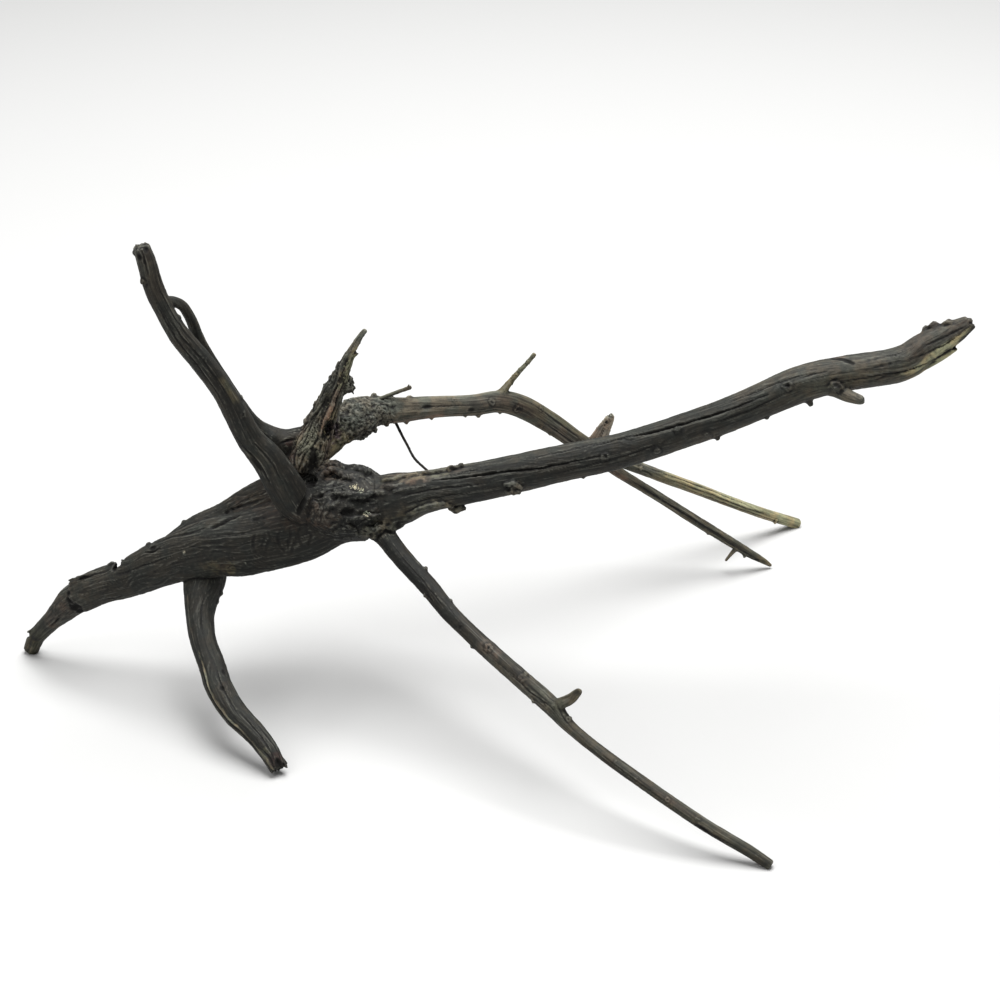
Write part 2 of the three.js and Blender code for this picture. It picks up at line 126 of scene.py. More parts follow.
def noise(points: Array, seed: int = 0) -> Array:
    """Smooth noise, about -1 to 1, with one wave for each unit of length.

    Args:
        points: Places, one a row.
        seed: Gives another pattern.

    Returns:
        One value for each place.
    """
    points = points + np.float32(SEED_SHIFT * seed)
    base = np.floor(points)
    part = (points - base).astype(np.float32)
    cell = base.astype(np.int64) & 255
    fade = part ** 3 * (part * (part * 6 - 15) + 10)
    total = np.zeros(len(points), np.float32)
    for corner in itertools.product((0, 1), repeat=3):
        x, y, z = ((cell[:, axis] + corner[axis]) & 255 for axis in range(3))
        gradient = GRADIENTS[SHUFFLE[(SHUFFLE[(SHUFFLE[x] + y) & 255] + z) & 255] & 15]
        away = part - np.array(corner, np.float32)
        share = np.prod(np.where(corner, fade, 1 - fade), axis=1)
        total += share * np.einsum("ij,ij->i", gradient, away)
    return total * NOISE_GAIN


def layered_noise(points: Array, layers: int, seed: int = 0) -> Array:
    """Noise with finer and weaker layers added.

    Args:
        points: Places, one a row.
        layers: The number of layers, each half as large and strong as the last.
        seed: Gives another pattern.

    Returns:
        One value for each place.
    """
    return sum(noise(points * 2 ** layer, seed + layer) * 0.5 ** layer for layer in range(layers))


@dataclass(frozen=True)
class Wave:
    """A noise pattern: how long its waves are, in millimetres, and its seed."""

    size: float | Place
    seed: int

    def at(self, places: Array) -> Array:
        """The pattern's values at places, about -1 to 1."""
        return noise(places / self.size, self.seed)


def smooth_min(first: Array, second: Array, size: float) -> Array:
    """The lesser of two distances, rounded where they are closer than `size`."""
    overlap = np.maximum(size - np.abs(first - second), 0) / size
    return np.minimum(first, second) - overlap * overlap * (size / 4)


def smooth_max(first: Array, second: Array, size: float) -> Array:
    """The greater of two distances, rounded where they are closer than `size`."""
    return -smooth_min(-first, -second, size)


def smooth_step(values: Array, low: float, high: float) -> Array:
    """0 below `low`, 1 above `high`, and a soft slope between."""
    t = np.clip((values - low) / (high - low), 0, 1)
    return t * t * (3 - 2 * t)


def nearest(points: Array, places: Array) -> Array:
    """The index of the place that is nearest to each point."""
    middle = places.mean(0)
    shifted = (places - middle).T
    squares = (shifted ** 2).sum(0)
    found = [np.argmin(squares - 2 * ((points[at:at + CHUNK] - middle) @ shifted), axis=1)
             for at in range(0, len(points), CHUNK)]
    return np.concatenate(found) if found else np.zeros(0, int)


def unit(vectors: Array) -> Array:
    """The vectors, each made one long."""
    return vectors / np.maximum(np.linalg.norm(vectors, axis=-1, keepdims=True), 1e-9)


def islands(count: int, pairs: Array) -> Array:
    """Groups things that are linked by pairs.

    Args:
        count: The number of things.
        pairs: Two indices a row.

    Returns:
        For each thing, the lowest index in its group.
    """
    root = np.arange(count)
    while True:
        low = np.minimum(root[pairs[:, 0]], root[pairs[:, 1]])
        new = root.copy()
        np.minimum.at(new, root[pairs[:, 0]], low)
        np.minimum.at(new, root[pairs[:, 1]], low)
        new = new[new]
        if np.array_equal(new, root):
            return root
        root = new


# Forms: what a limb is made of

BAR_BUMPS = Wave(3.2, 71)


@dataclass
class Spot:
    """Where points are beside a strand: all arrays, in millimetres."""

    place: Array
    along: Array
    across: Array
    through: Array
    half_width: Array
    half_depth: Array
    angle: Array
    travelled: Array
    forward: Array


@dataclass(frozen=True)
class Tear:
    """A broken end, whose fibres stop at different lengths."""

    depth: float
    fibre: float = 1.6
    hollow: float = 0.0
    slant: float = 0.0


@dataclass(frozen=True)
class Nub:
    """A nub, thorn or flake on a strand. `lean` tips it along the strand."""

    place: float
    degrees: float
    length: float
    base: float
    tip: float
    lean: float = 0.0
    strand: int = 0


@dataclass(frozen=True)
class Hollow:
    """A rounded pit that is sunk into a strand, `stretch` times as long as it is wide."""

    place: float
    degrees: float
    radius: float
    stretch: float = 1.0
    strand: int = 0


@dataclass(frozen=True)
class Crack:
    """A crack along the grain through (place, degrees) points. A depth below 0 makes it a raised line."""

    route: tuple[tuple[float, float], ...]
    width: float
    depth: float
    tone: Colour | None = None
    strand: int = 0


@dataclass(frozen=True)
class Knot:
    """A low ringed knot on a strand."""

    place: float
    degrees: float
    radius: float
    height: float
    strand: int = 0


@dataclass(frozen=True)
class Patch:
    """A streaky patch of another colour on a strand."""

    start: float
    end: float
    degrees: float
    spread: float
    tone: Colour
    strength: float
    strand: int = 0


@dataclass(frozen=True)
class Blot:
    """A round patch of another colour at a point of the routes' frame."""

    middle: Place
    radius: float
    tone: Colour
    strength: float


@dataclass(frozen=True)
class Groove:
    """A groove through points of the routes' frame. A depth below 0 makes it a fold."""

    route: tuple[Place, ...]
    width: float
    depth: float


@dataclass(frozen=True)
class Bar:
    """A rounded bar through points of the routes' frame, which is added to the wood or cut out of it."""

    route: tuple[Place, ...]
    radius: float
    blend: float = 1.5


@dataclass(frozen=True)
class Relief:
    """How high the surface's forms stand, in millimetres, and how many small checks 100 mm have."""

    flutes: float
    ridges: float
    fibres: float
    gnarls: float = 0.0
    pores: float = 0.0
    plates: float = 0.0
    creases: float = 0.0
    checks: int = 0


Nubs, Hollows, Cracks, Knots = tuple[Nub, ...], tuple[Hollow, ...], tuple[Crack, ...], tuple[Knot, ...]
Patches, Blots, Grooves, Bars = tuple[Patch, ...], tuple[Blot, ...], tuple[Groove, ...], tuple[Bar, ...]


def each(kind: Callable[..., object], *rows: tuple) -> tuple:
    """One feature of a kind for each row of its values."""
    return tuple(kind(*row) for row in rows)


def along_route(points: Array, route: tuple[Place, ...]) -> tuple[Array, Array]:
    """Measures points against a line through points of the routes' frame.

    Args:
        points: Places, one a row.
        route: The line's points.

    Returns:
        How far each place is from the line, and its share of the line's length.
    """
    corners = (np.array(route, np.float32) + ROUTE_SHIFT).astype(np.float32)
    lengths = np.linalg.norm(np.diff(corners, axis=0), axis=1)
    travelled = np.concatenate([[0], np.cumsum(lengths)]) / lengths.sum()
    away = np.full(len(points), FAR, np.float32)
    share = np.zeros(len(points), np.float32)
    for at, (start, end) in enumerate(itertools.pairwise(corners)):
        along = np.clip((points - start) @ (end - start) / lengths[at] ** 2, 0, 1)
        found = np.linalg.norm(points - start - np.outer(along, end - start), axis=1)
        closer = found < away
        away = np.where(closer, found, away)
        share = np.where(closer, travelled[at] + along * (travelled[at + 1] - travelled[at]), share)
    return away, share


def weathering(spot: Spot, phase: float, roughness: float) -> Array:
    """The factor that flutes and swellings put on a limb's radius."""
    wave = sum(share * np.sin(lobes * spot.angle + spot.travelled / length + shift * phase)
               for share, lobes, length, shift in WEATHERING_WAVES)
    return 1 + roughness * wave


@dataclass
class Strand:
    """A tube of wood through stations."""

    stations: list[Station]
    phase: float
    roughness: float
    blend: float = 5.0
    tear: Tear | None = None
    twist: float = 0.004

    def __post_init__(self) -> None:
        """Samples the route at even steps."""
        rows = np.array([(*station, station[3])[:5] for station in self.stations], float)
        rows = np.vstack([2 * rows[0] - rows[1], rows, 2 * rows[-1] - rows[-2]])
        last = len(self.stations) - 1
        fine = np.linspace(0, last, LENGTH_DIVISIONS + 1)
        steps = np.linalg.norm(np.diff(self._curve(rows, fine)[:, :3], axis=0), axis=1)
        travelled = np.concatenate([[0], np.cumsum(steps)])
        self.length = float(travelled[-1])
        count = max(4, int(self.length / SAMPLE_STEP))
        self.spacing = self.length / count
        self.places = np.interp(np.linspace(0, self.length, count + 1), travelled, fine).astype(np.float32)
        sampled = self._curve(rows, self.places)
        self.centres = (sampled[:, :3] + ROUTE_SHIFT).astype(np.float32)
        self.halves = sampled[:, 3:].astype(np.float32)
        self.along = unit(np.gradient(self.centres, axis=0)).astype(np.float32)
        facing = self.along @ DEPTH_DIRECTION
        self.depth = unit(DEPTH_DIRECTION - facing[:, None] * self.along).astype(np.float32)
        self.width = np.cross(self.along, self.depth).astype(np.float32)
        self.reach = float(self.halves.max()) * (1 + 1.6 * self.roughness) + self.blend + BAND

    @staticmethod
    def _curve(rows: Array, places: Array) -> Array:
        """The smooth curve through all the rows' columns, at places counted from the second row."""
        index = np.minimum(places.astype(int), len(rows) - 4)
        t = (places - index)[:, None]
        before, start, end, after = (rows[index + shift] for shift in range(4))
        leave, arrive = (end - before) / 2, (after - start) / 2
        cubic = 2 * start - 2 * end + leave + arrive
        square = -3 * start + 3 * end - 2 * leave - arrive
        return start + leave * t + square * t ** 2 + cubic * t ** 3

    def spot(self, points: Array, first: int = 0, last: int | None = None) -> Spot:
        """Finds where points are beside the strand.

        Args:
            points: Places, one a row.
            first: The first sample of the route to look at.
            last: One past the last sample to look at.

        Returns:
            The points' own coordinates on the strand.
        """
        end = len(self.centres) - 1
        index = nearest(points, self.centres[first:last]) + first
        ahead = np.einsum("ij,ij->i", points - self.centres[index], self.along[index]) / self.spacing
        sample = np.clip(index + ahead, 0, end)
        low = np.minimum(sample.astype(int), end - 1)
        part = (sample - low)[:, None].astype(np.float32)

        def between(values: Array) -> Array:
            """The values between two samples."""
            return values[low] * (1 - part) + values[low + 1] * part

        offset = points - between(self.centres)
        across = np.einsum("ij,ij->i", offset, between(self.width))
        through = np.einsum("ij,ij->i", offset, between(self.depth))
        forward = between(self.along)
        past = np.einsum("ij,ij->i", offset, forward)
        halves = between(self.halves)
        place = between(self.places[:, None])[:, 0]
        return Spot(place, sample * self.spacing + past, across, through, halves[:, 0], halves[:, 1],
                    np.arctan2(through, across), place / (len(self.stations) - 1) * self.length, forward)

    def distance(self, points: Array, first: int = 0, last: int | None = None) -> Array:
        """How far points are outside the strand's skin, looking at samples from `first` to `last`."""
        spot = self.spot(points, first, last)
        factor = weathering(spot, self.phase, self.roughness)
        radius = np.hypot(spot.across, spot.through) + TINY
        ratio = np.hypot(spot.across / spot.half_width, spot.through / spot.half_depth) / factor + 1e-5
        side = (ratio - 1) * radius / ratio
        end = spot.along - self.length
        if self.tear:
            end = self._torn(spot, end, ratio)
        return smooth_max(smooth_max(side, end, EDGE_ROUNDING), -spot.along, EDGE_ROUNDING)

    def _torn(self, spot: Spot, end: Array, ratio: Array) -> Array:
        """The distance past an end whose fibres are torn."""
        tear = self.tear
        close = end > -3 * (tear.depth + tear.hollow) - 4
        section = np.stack([spot.across, spot.through, 0 * spot.along + 3 * self.phase], 1)[close] / tear.fibre
        cut = tear.depth * (0.55 + 0.6 * noise(section) + 0.35 * noise(section * 2.1, 3))
        cut += tear.hollow * np.exp(-(ratio[close] / 0.6) ** 2)
        cut += tear.slant * spot.across[close]
        torn = end.copy()
        torn[close] += cut
        return torn

    def torn_share(self, spot: Spot) -> Array:
        """How much points are on the strand's torn end, 0 to 1."""
        if not self.tear:
            return np.zeros(len(spot.along), np.float32)
        deep = self.tear.depth + self.tear.hollow
        return smooth_step(spot.along - self.length, -1.6 * deep - 1.5, -0.5 * deep)

    def skin(self, place: float, degrees: float) -> tuple[Array, Array, Array]:
        """A point of the skin.

        Args:
            place: Counts stations from 0.
            degrees: The angle from the width direction to the depth direction.

        Returns:
            The point, the direction out of the skin and the direction along the strand.
        """
        index = int(np.argmin(np.abs(self.places - place)))
        angle = math.radians(degrees)
        half_width, half_depth = self.halves[index]
        travelled = np.array([place / (len(self.stations) - 1) * self.length])
        one = np.array([1.0])
        spot = Spot(one, one, one, one, one, one, one * angle, travelled, one)
        factor = float(weathering(spot, self.phase, self.roughness)[0])
        out = (math.cos(angle) * half_width * self.width[index] + math.sin(angle) * half_depth * self.depth[index])
        return self.centres[index] + out * factor, unit(out), self.along[index]


@dataclass
class Twig:
    """A strand that is too thin for the merged volume, with its own colour."""

    strand: Strand
    tone: Colour


@dataclass
class Cone:
    """A blunt cone, which is a nub's form."""

    start: Array
    end: Array
    base: float
    tip: float
    blend: float = 1.6

    def __post_init__(self) -> None:
        """Measures the cone."""
        self.length = float(np.linalg.norm(self.end - self.start))
        self.middle = (self.start + self.end) / 2
        self.reach = self.length / 2 + self.base + self.blend + BAND

    def distance(self, points: Array) -> Array:
        """How far points are outside the cone."""
        axis = (self.end - self.start) / self.length
        offset = points - self.start
        along = offset @ axis
        share = np.clip(along / self.length, 0, 1)
        side = np.linalg.norm(offset - np.outer(along, axis), axis=1) - self.base - (self.tip - self.base) * share
        return smooth_max(side, np.maximum(along - self.length, -along), 0.6)


@dataclass
class Rod:
    """A bar's form, a little thicker and thinner along its way."""

    bar: Bar

    def __post_init__(self) -> None:
        """Measures the bar."""
        corners = np.array(self.bar.route, np.float32) + ROUTE_SHIFT
        self.middle = (corners.min(0) + corners.max(0)) / 2
        self.reach = float(np.linalg.norm(corners.max(0) - corners.min(0)) / 2) + 1.5 * self.bar.radius + BAND
        self.blend = self.bar.blend

    def distance(self, points: Array) -> Array:
        """How far points are outside the bar."""
        away, share = along_route(points, self.bar.route)
        taper = 0.55 + 0.45 * np.sin(np.pi * np.clip(share, 0.02, 0.98)) ** 0.5
        return away - self.bar.radius * taper * (1 + 0.35 * BAR_BUMPS.at(points))


@dataclass
class Pit:
    """An ellipsoid that is taken out of the wood."""

    middle: Array
    axis: Array
    radius: float
    stretch: float

    def __post_init__(self) -> None:
        """Measures the pit."""
        self.reach = self.radius * max(self.stretch, 1) + HOLLOW_ROUNDING + BAND

    def distance(self, points: Array) -> Array:
        """How far points are outside the pit."""
        offset = points - self.middle
        along = offset @ self.axis
        side = offset - np.outer(along, self.axis)
        ratio = np.sqrt((side ** 2).sum(1) + (along / self.stretch) ** 2) / self.radius
        return (ratio - 1) * self.radius


# The patterns of the limbs' relief and colours: waves in millimetres, across and along the grain where there are three.
FLUTES = Wave((7, 7, 85), 1)
RIDGES = Wave((3.4, 3.4, 42), 2)
FIBRES = Wave((1.5, 1.5, 20), 3)
WARP = Wave(16, 5)
PORES = Wave(2.4, 6)
LUMPS = Wave(4.5, 9)
STREAKS = Wave((1.8, 1.8, 20), 21)
SMEARS = Wave((5, 5, 12), 22)
DRIFT = Wave((5, 5, 30), 23)
CRACK_WANDER = Wave(9, 31)
CRACK_JAGS = Wave(2.5, 32)
CRACK_WIDTHS = Wave(5, 33)
KNOT_EDGES = Wave(2, 34)
KNOT_BUMPS = Wave(1.4, 35)
GROOVE_EDGES = Wave(3, 41)
CROWN_FOLDS = Wave((4.5, 4.5, 22), 54)
CROWN_FIBRES = Wave((1.5, 1.5, 12), 55)
CROWN_CREASES = Wave((7, 7, 22), 57)
CREASED_PARTS = Wave(11, 58)
CROWN_PORES = Wave(2.6, 59)
CROWN_FLUTES = Wave((8, 8, 40), 60)
# The share of a bark plate that slopes. The rest drops to the next plate.
PLATE_SLOPE = 0.85


@dataclass(kw_only=True)
class Growth:
    """What the crown and every limb have: a finish, a relief, and forms at points of the routes' frame."""

    name: str
    slot: Slot
    tone: Colour
    relief: Relief
    rolls: Bars = ()
    cuts: Bars = ()
    grooves: Grooves = ()
    blots: Blots = ()
    lichen: Blots = ()

    def build(self, skin: "Skin", labels: Array, label: int) -> bpy.types.Object:
        """Makes the limb's piece out of the merged skin.

        Args:
            skin: The merged wood's skin.
            labels: Each triangle's limb.
            label: This limb's number.

        Returns:
            The piece.
        """
        return piece_from(skin, labels, label, f"{self.name}_wood")

    def dress(self, piece: bpy.types.Object, materials: dict[Slot, bpy.types.Material]) -> None:
        """Gives the piece its finish, and its place in the model.

        Args:
            piece: The limb's piece.
            materials: The material of each slot.
        """
        piece.data.materials.append(materials[self.slot])
        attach(piece, "root")
        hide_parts(self.name)


@dataclass(kw_only=True)
class Limb(Growth):
    """A limb of the root wood: strands of wood with their nubs, pits, cracks and patches.

    `fades` gives each strand's colours at places along it, or is empty.
    """

    strands: tuple[Strand, ...]
    fades: tuple[Fade, ...] = ()
    nubs: Nubs = ()
    hollows: Hollows = ()
    cracks: Cracks = ()
    knots: Knots = ()
    patches: Patches = ()
    rough: tuple[float, float] | None = None

    def cones(self) -> list[Cone]:
        """The nubs as cones."""
        return [self._cone(nub) for nub in self.nubs]

    def _cone(self, nub: Nub) -> Cone:
        """One nub as a cone that is rooted in its strand."""
        point, out, along = self.strands[nub.strand].skin(nub.place, nub.degrees)
        direction = unit(out + nub.lean * along)
        return Cone(point - direction * nub.base, point + direction * nub.length, nub.base, nub.tip)

    def pits(self) -> list[Pit]:
        """The hollows as ellipsoids."""
        return [self._pit(hollow) for hollow in self.hollows]

    def _pit(self, hollow: Hollow) -> Pit:
        """One hollow as an ellipsoid that is stretched along its strand."""
        point, _, along = self.strands[hollow.strand].skin(hollow.place, hollow.degrees)
        return Pit(point, along, hollow.radius, hollow.stretch)

    def grain(self, index: int, spot: Spot) -> Array:
        """The wood's own coordinates: two across the grain, which twists, and one along it."""
        turn = self.strands[index].twist * spot.along + index
        cosine, sine = np.cos(turn), np.sin(turn)
        return np.stack([cosine * spot.across - sine * spot.through,
                         sine * spot.across + cosine * spot.through, spot.along], 1)

    def roughness(self, spot: Spot) -> Array:
        """How much of the rough relief there is at each point, 0 to 1."""
        if not self.rough:
            return np.ones(len(spot.place), np.float32)
        start, end = self.rough
        return smooth_step(spot.place, start - 0.4, start + 0.4) * smooth_step(spot.place, end + 0.4, end - 0.5)

    def heights(self, index: int, spot: Spot, points: Array) -> Array:
        """How far the skin's relief stands out or in.

        Args:
            index: The strand that the points are on.
            spot: The points on that strand.
            points: The points themselves.

        Returns:
            Heights in millimetres.
        """
        relief = self.relief
        small = np.clip(np.sqrt(spot.half_width * spot.half_depth) / 8, 0.15, 1)
        warp = WARP.at(points)[:, None] * np.array([2.0, 2.0, 0.0], np.float32)
        grain = self.grain(index, spot) + warp
        ridges = np.abs(RIDGES.at(grain)) * 2 - 0.35
        smooth = relief.flutes * FLUTES.at(grain) + relief.ridges * ridges + relief.fibres * FIBRES.at(grain)
        rough = np.zeros(len(points), np.float32)
        if relief.plates:
            rough += relief.plates * plates(grain / (5.5, 5.5, 34))
        if relief.gnarls:
            rough += relief.gnarls * (layered_noise(points / 6, 3, 4) + 0.8 * np.abs(LUMPS.at(points)))
        if relief.pores:
            rough -= relief.pores * smooth_step(PORES.at(points), 0.22, 0.5)
        return small * (smooth + self.roughness(spot) * rough)

    def openings(self, index: int, spot: Spot, tones: Array) -> Array:
        """Opens the cracks of a strand and colours its raised lines.

        Args:
            index: The strand that the points are on.
            spot: The points on that strand.
            tones: The colours of the points, which the lines' own colours are put into.

        Returns:
            How deep the cracks are, in millimetres.
        """
        total = np.zeros(len(spot.place), np.float32)
        for number, crack in enumerate(self._all_cracks(index)):
            share = crack_share(spot, crack, number)
            if crack.depth > 0:
                total = np.maximum(total, crack.depth * share)
            else:
                total += crack.depth * share
            if crack.tone:
                mask = np.minimum(1.6 * share, 1)[:, None]
                tones += (np.array(crack.tone, np.float32) - tones) * mask
        return total

    def _all_cracks(self, index: int) -> list[Crack]:
        """The strand's own cracks, and the small drying checks that are strewn over it."""
        strand = self.strands[index]
        cracks = [crack for crack in self.cracks if crack.strand == index]
        random = np.random.default_rng(int(strand.phase * 1000) + index)
        last = len(strand.stations) - 1
        for _ in range(round(self.relief.checks * strand.length / 100)):
            start = random.uniform(0, last - 0.4)
            end = min(last, start + random.uniform(10, 38) / strand.length * last)
            degrees = random.uniform(-180, 180)
            bend = random.normal(0, 7)
            route = ((start, degrees), ((start + end) / 2, degrees + bend), (end, degrees + random.normal(0, 5)))
            cracks.append(Crack(route, random.uniform(0.5, 0.9), random.uniform(0.4, 1.0)))
        return cracks

    def knot_heights(self, index: int, points: Array) -> tuple[Array, Array]:
        """The strand's ringed knots.

        Args:
            index: The strand that the points are on.
            points: The points themselves.

        Returns:
            Heights in millimetres, and how dark each point is in a knot's middle.
        """
        heights = np.zeros(len(points), np.float32)
        dark = np.zeros(len(points), np.float32)
        for knot in self.knots:
            if knot.strand != index:
                continue
            middle, _, _ = self.strands[index].skin(knot.place, knot.degrees)
            away = np.linalg.norm(points - middle, axis=1) / knot.radius + 0.35 * KNOT_EDGES.at(points)
            mound, ring, eye = (np.exp(-((away - at) / width) ** 2) for at, width in ((0, 0.9), (1.2, 0.3), (0, 0.35)))
            heights += knot.height * (mound * (1.1 + KNOT_BUMPS.at(points)) - 0.4 * ring - 1.1 * eye)
            dark = np.maximum(dark, eye + 0.25 * ring)
        return heights, np.minimum(dark, 1)

    def tones(self, index: int, spot: Spot) -> Array:
        """The colours of points on a strand, with its patches on them.

        Args:
            index: The strand that the points are on.
            spot: The points on that strand.

        Returns:
            One colour for each point.
        """
        stops = self.fades[index] if self.fades else ((0.0, self.tone),)
        places = [place for place, _ in stops]
        grain = self.grain(index, spot)
        drift = spot.place + 0.5 * DRIFT.at(grain)
        tones = np.stack([np.interp(drift, places, values) for values in zip(*(tone for _, tone in stops))], 1)
        for patch in self.patches:
            if patch.strand != index:
                continue
            share = (spot.place - patch.start) / (patch.end - patch.start)
            streaks = 0.45 * STREAKS.at(grain) + 0.3 * SMEARS.at(grain)
            lengthwise = smooth_step(np.minimum(share, 1 - share) * 2 + 0.5 * streaks, 0.02, 0.4)
            turn = np.abs(wrapped(spot.angle - math.radians(patch.degrees))) / math.radians(patch.spread)
            around = 1 - smooth_step(turn + streaks, 0.6, 1.1)
            mask = (patch.strength * lengthwise * around)[:, None]
            tones = tones * (1 - mask) + np.array(patch.tone, np.float32) * mask
        return tones.astype(np.float32)


def plates(places: Array) -> Array:
    """Overlapping plates: a slope that drops at each plate's edge, -0.5 to 0.5."""
    levels = 2.4 * noise(places, 7)
    part = levels - np.floor(levels)
    return np.where(part < PLATE_SLOPE, part / PLATE_SLOPE, (1 - part) / (1 - PLATE_SLOPE)).astype(np.float32) - 0.5


def wrapped(angles: Array) -> Array:
    """Angles brought between minus and plus half a turn."""
    return (angles + math.pi) % (2 * math.pi) - math.pi


def crack_share(spot: Spot, crack: Crack, number: int) -> Array:
    """How far into one crack each point is.

    Args:
        spot: The points on the crack's strand.
        crack: The crack.
        number: Gives each crack its own wander.

    Returns:
        Shares of the crack's depth.
    """
    places, degrees = np.array(crack.route, float).T
    turns = np.radians(np.interp(spot.place, places, degrees))
    share = (spot.place - places[0]) / (places[-1] - places[0])
    inside = (share > 0) & (share < 1)
    depth = np.zeros(len(spot.place), np.float32)
    if not inside.any():
        return depth
    taper = np.sin(np.pi * share[inside]) ** 0.6 + 1e-3
    radius = np.sqrt(spot.half_width * spot.half_depth)[inside]
    away = wrapped(spot.angle - turns)[inside] * radius
    lane = np.stack([spot.along[inside], 0 * away + number, 0 * away], 1).astype(np.float32)
    away = away + 0.5 * CRACK_WANDER.at(lane) + 0.2 * CRACK_JAGS.at(lane)
    thin = np.clip(radius / 6, 0.2, 1)
    width = crack.width * taper * thin * (0.8 + 0.5 * CRACK_WIDTHS.at(lane))
    depth[inside] = taper * thin * np.clip(1 - np.abs(away) / width, 0, 1) ** 0.7
    return depth


def groove_depth(points: Array, groove: Groove) -> Array:
    """How deep a groove is at each point, in millimetres."""
    away, share = along_route(points, groove.route)
    taper = 0.25 + 0.75 * np.sin(np.pi * np.clip(share, 0.01, 0.99)) ** 0.5
    away = away + 0.5 * GROOVE_EDGES.at(points)
    return groove.depth * taper * np.clip(1 - away / (groove.width * taper), 0, 1) ** 0.8


# Sub-assemblies: the crown and the ten limbs

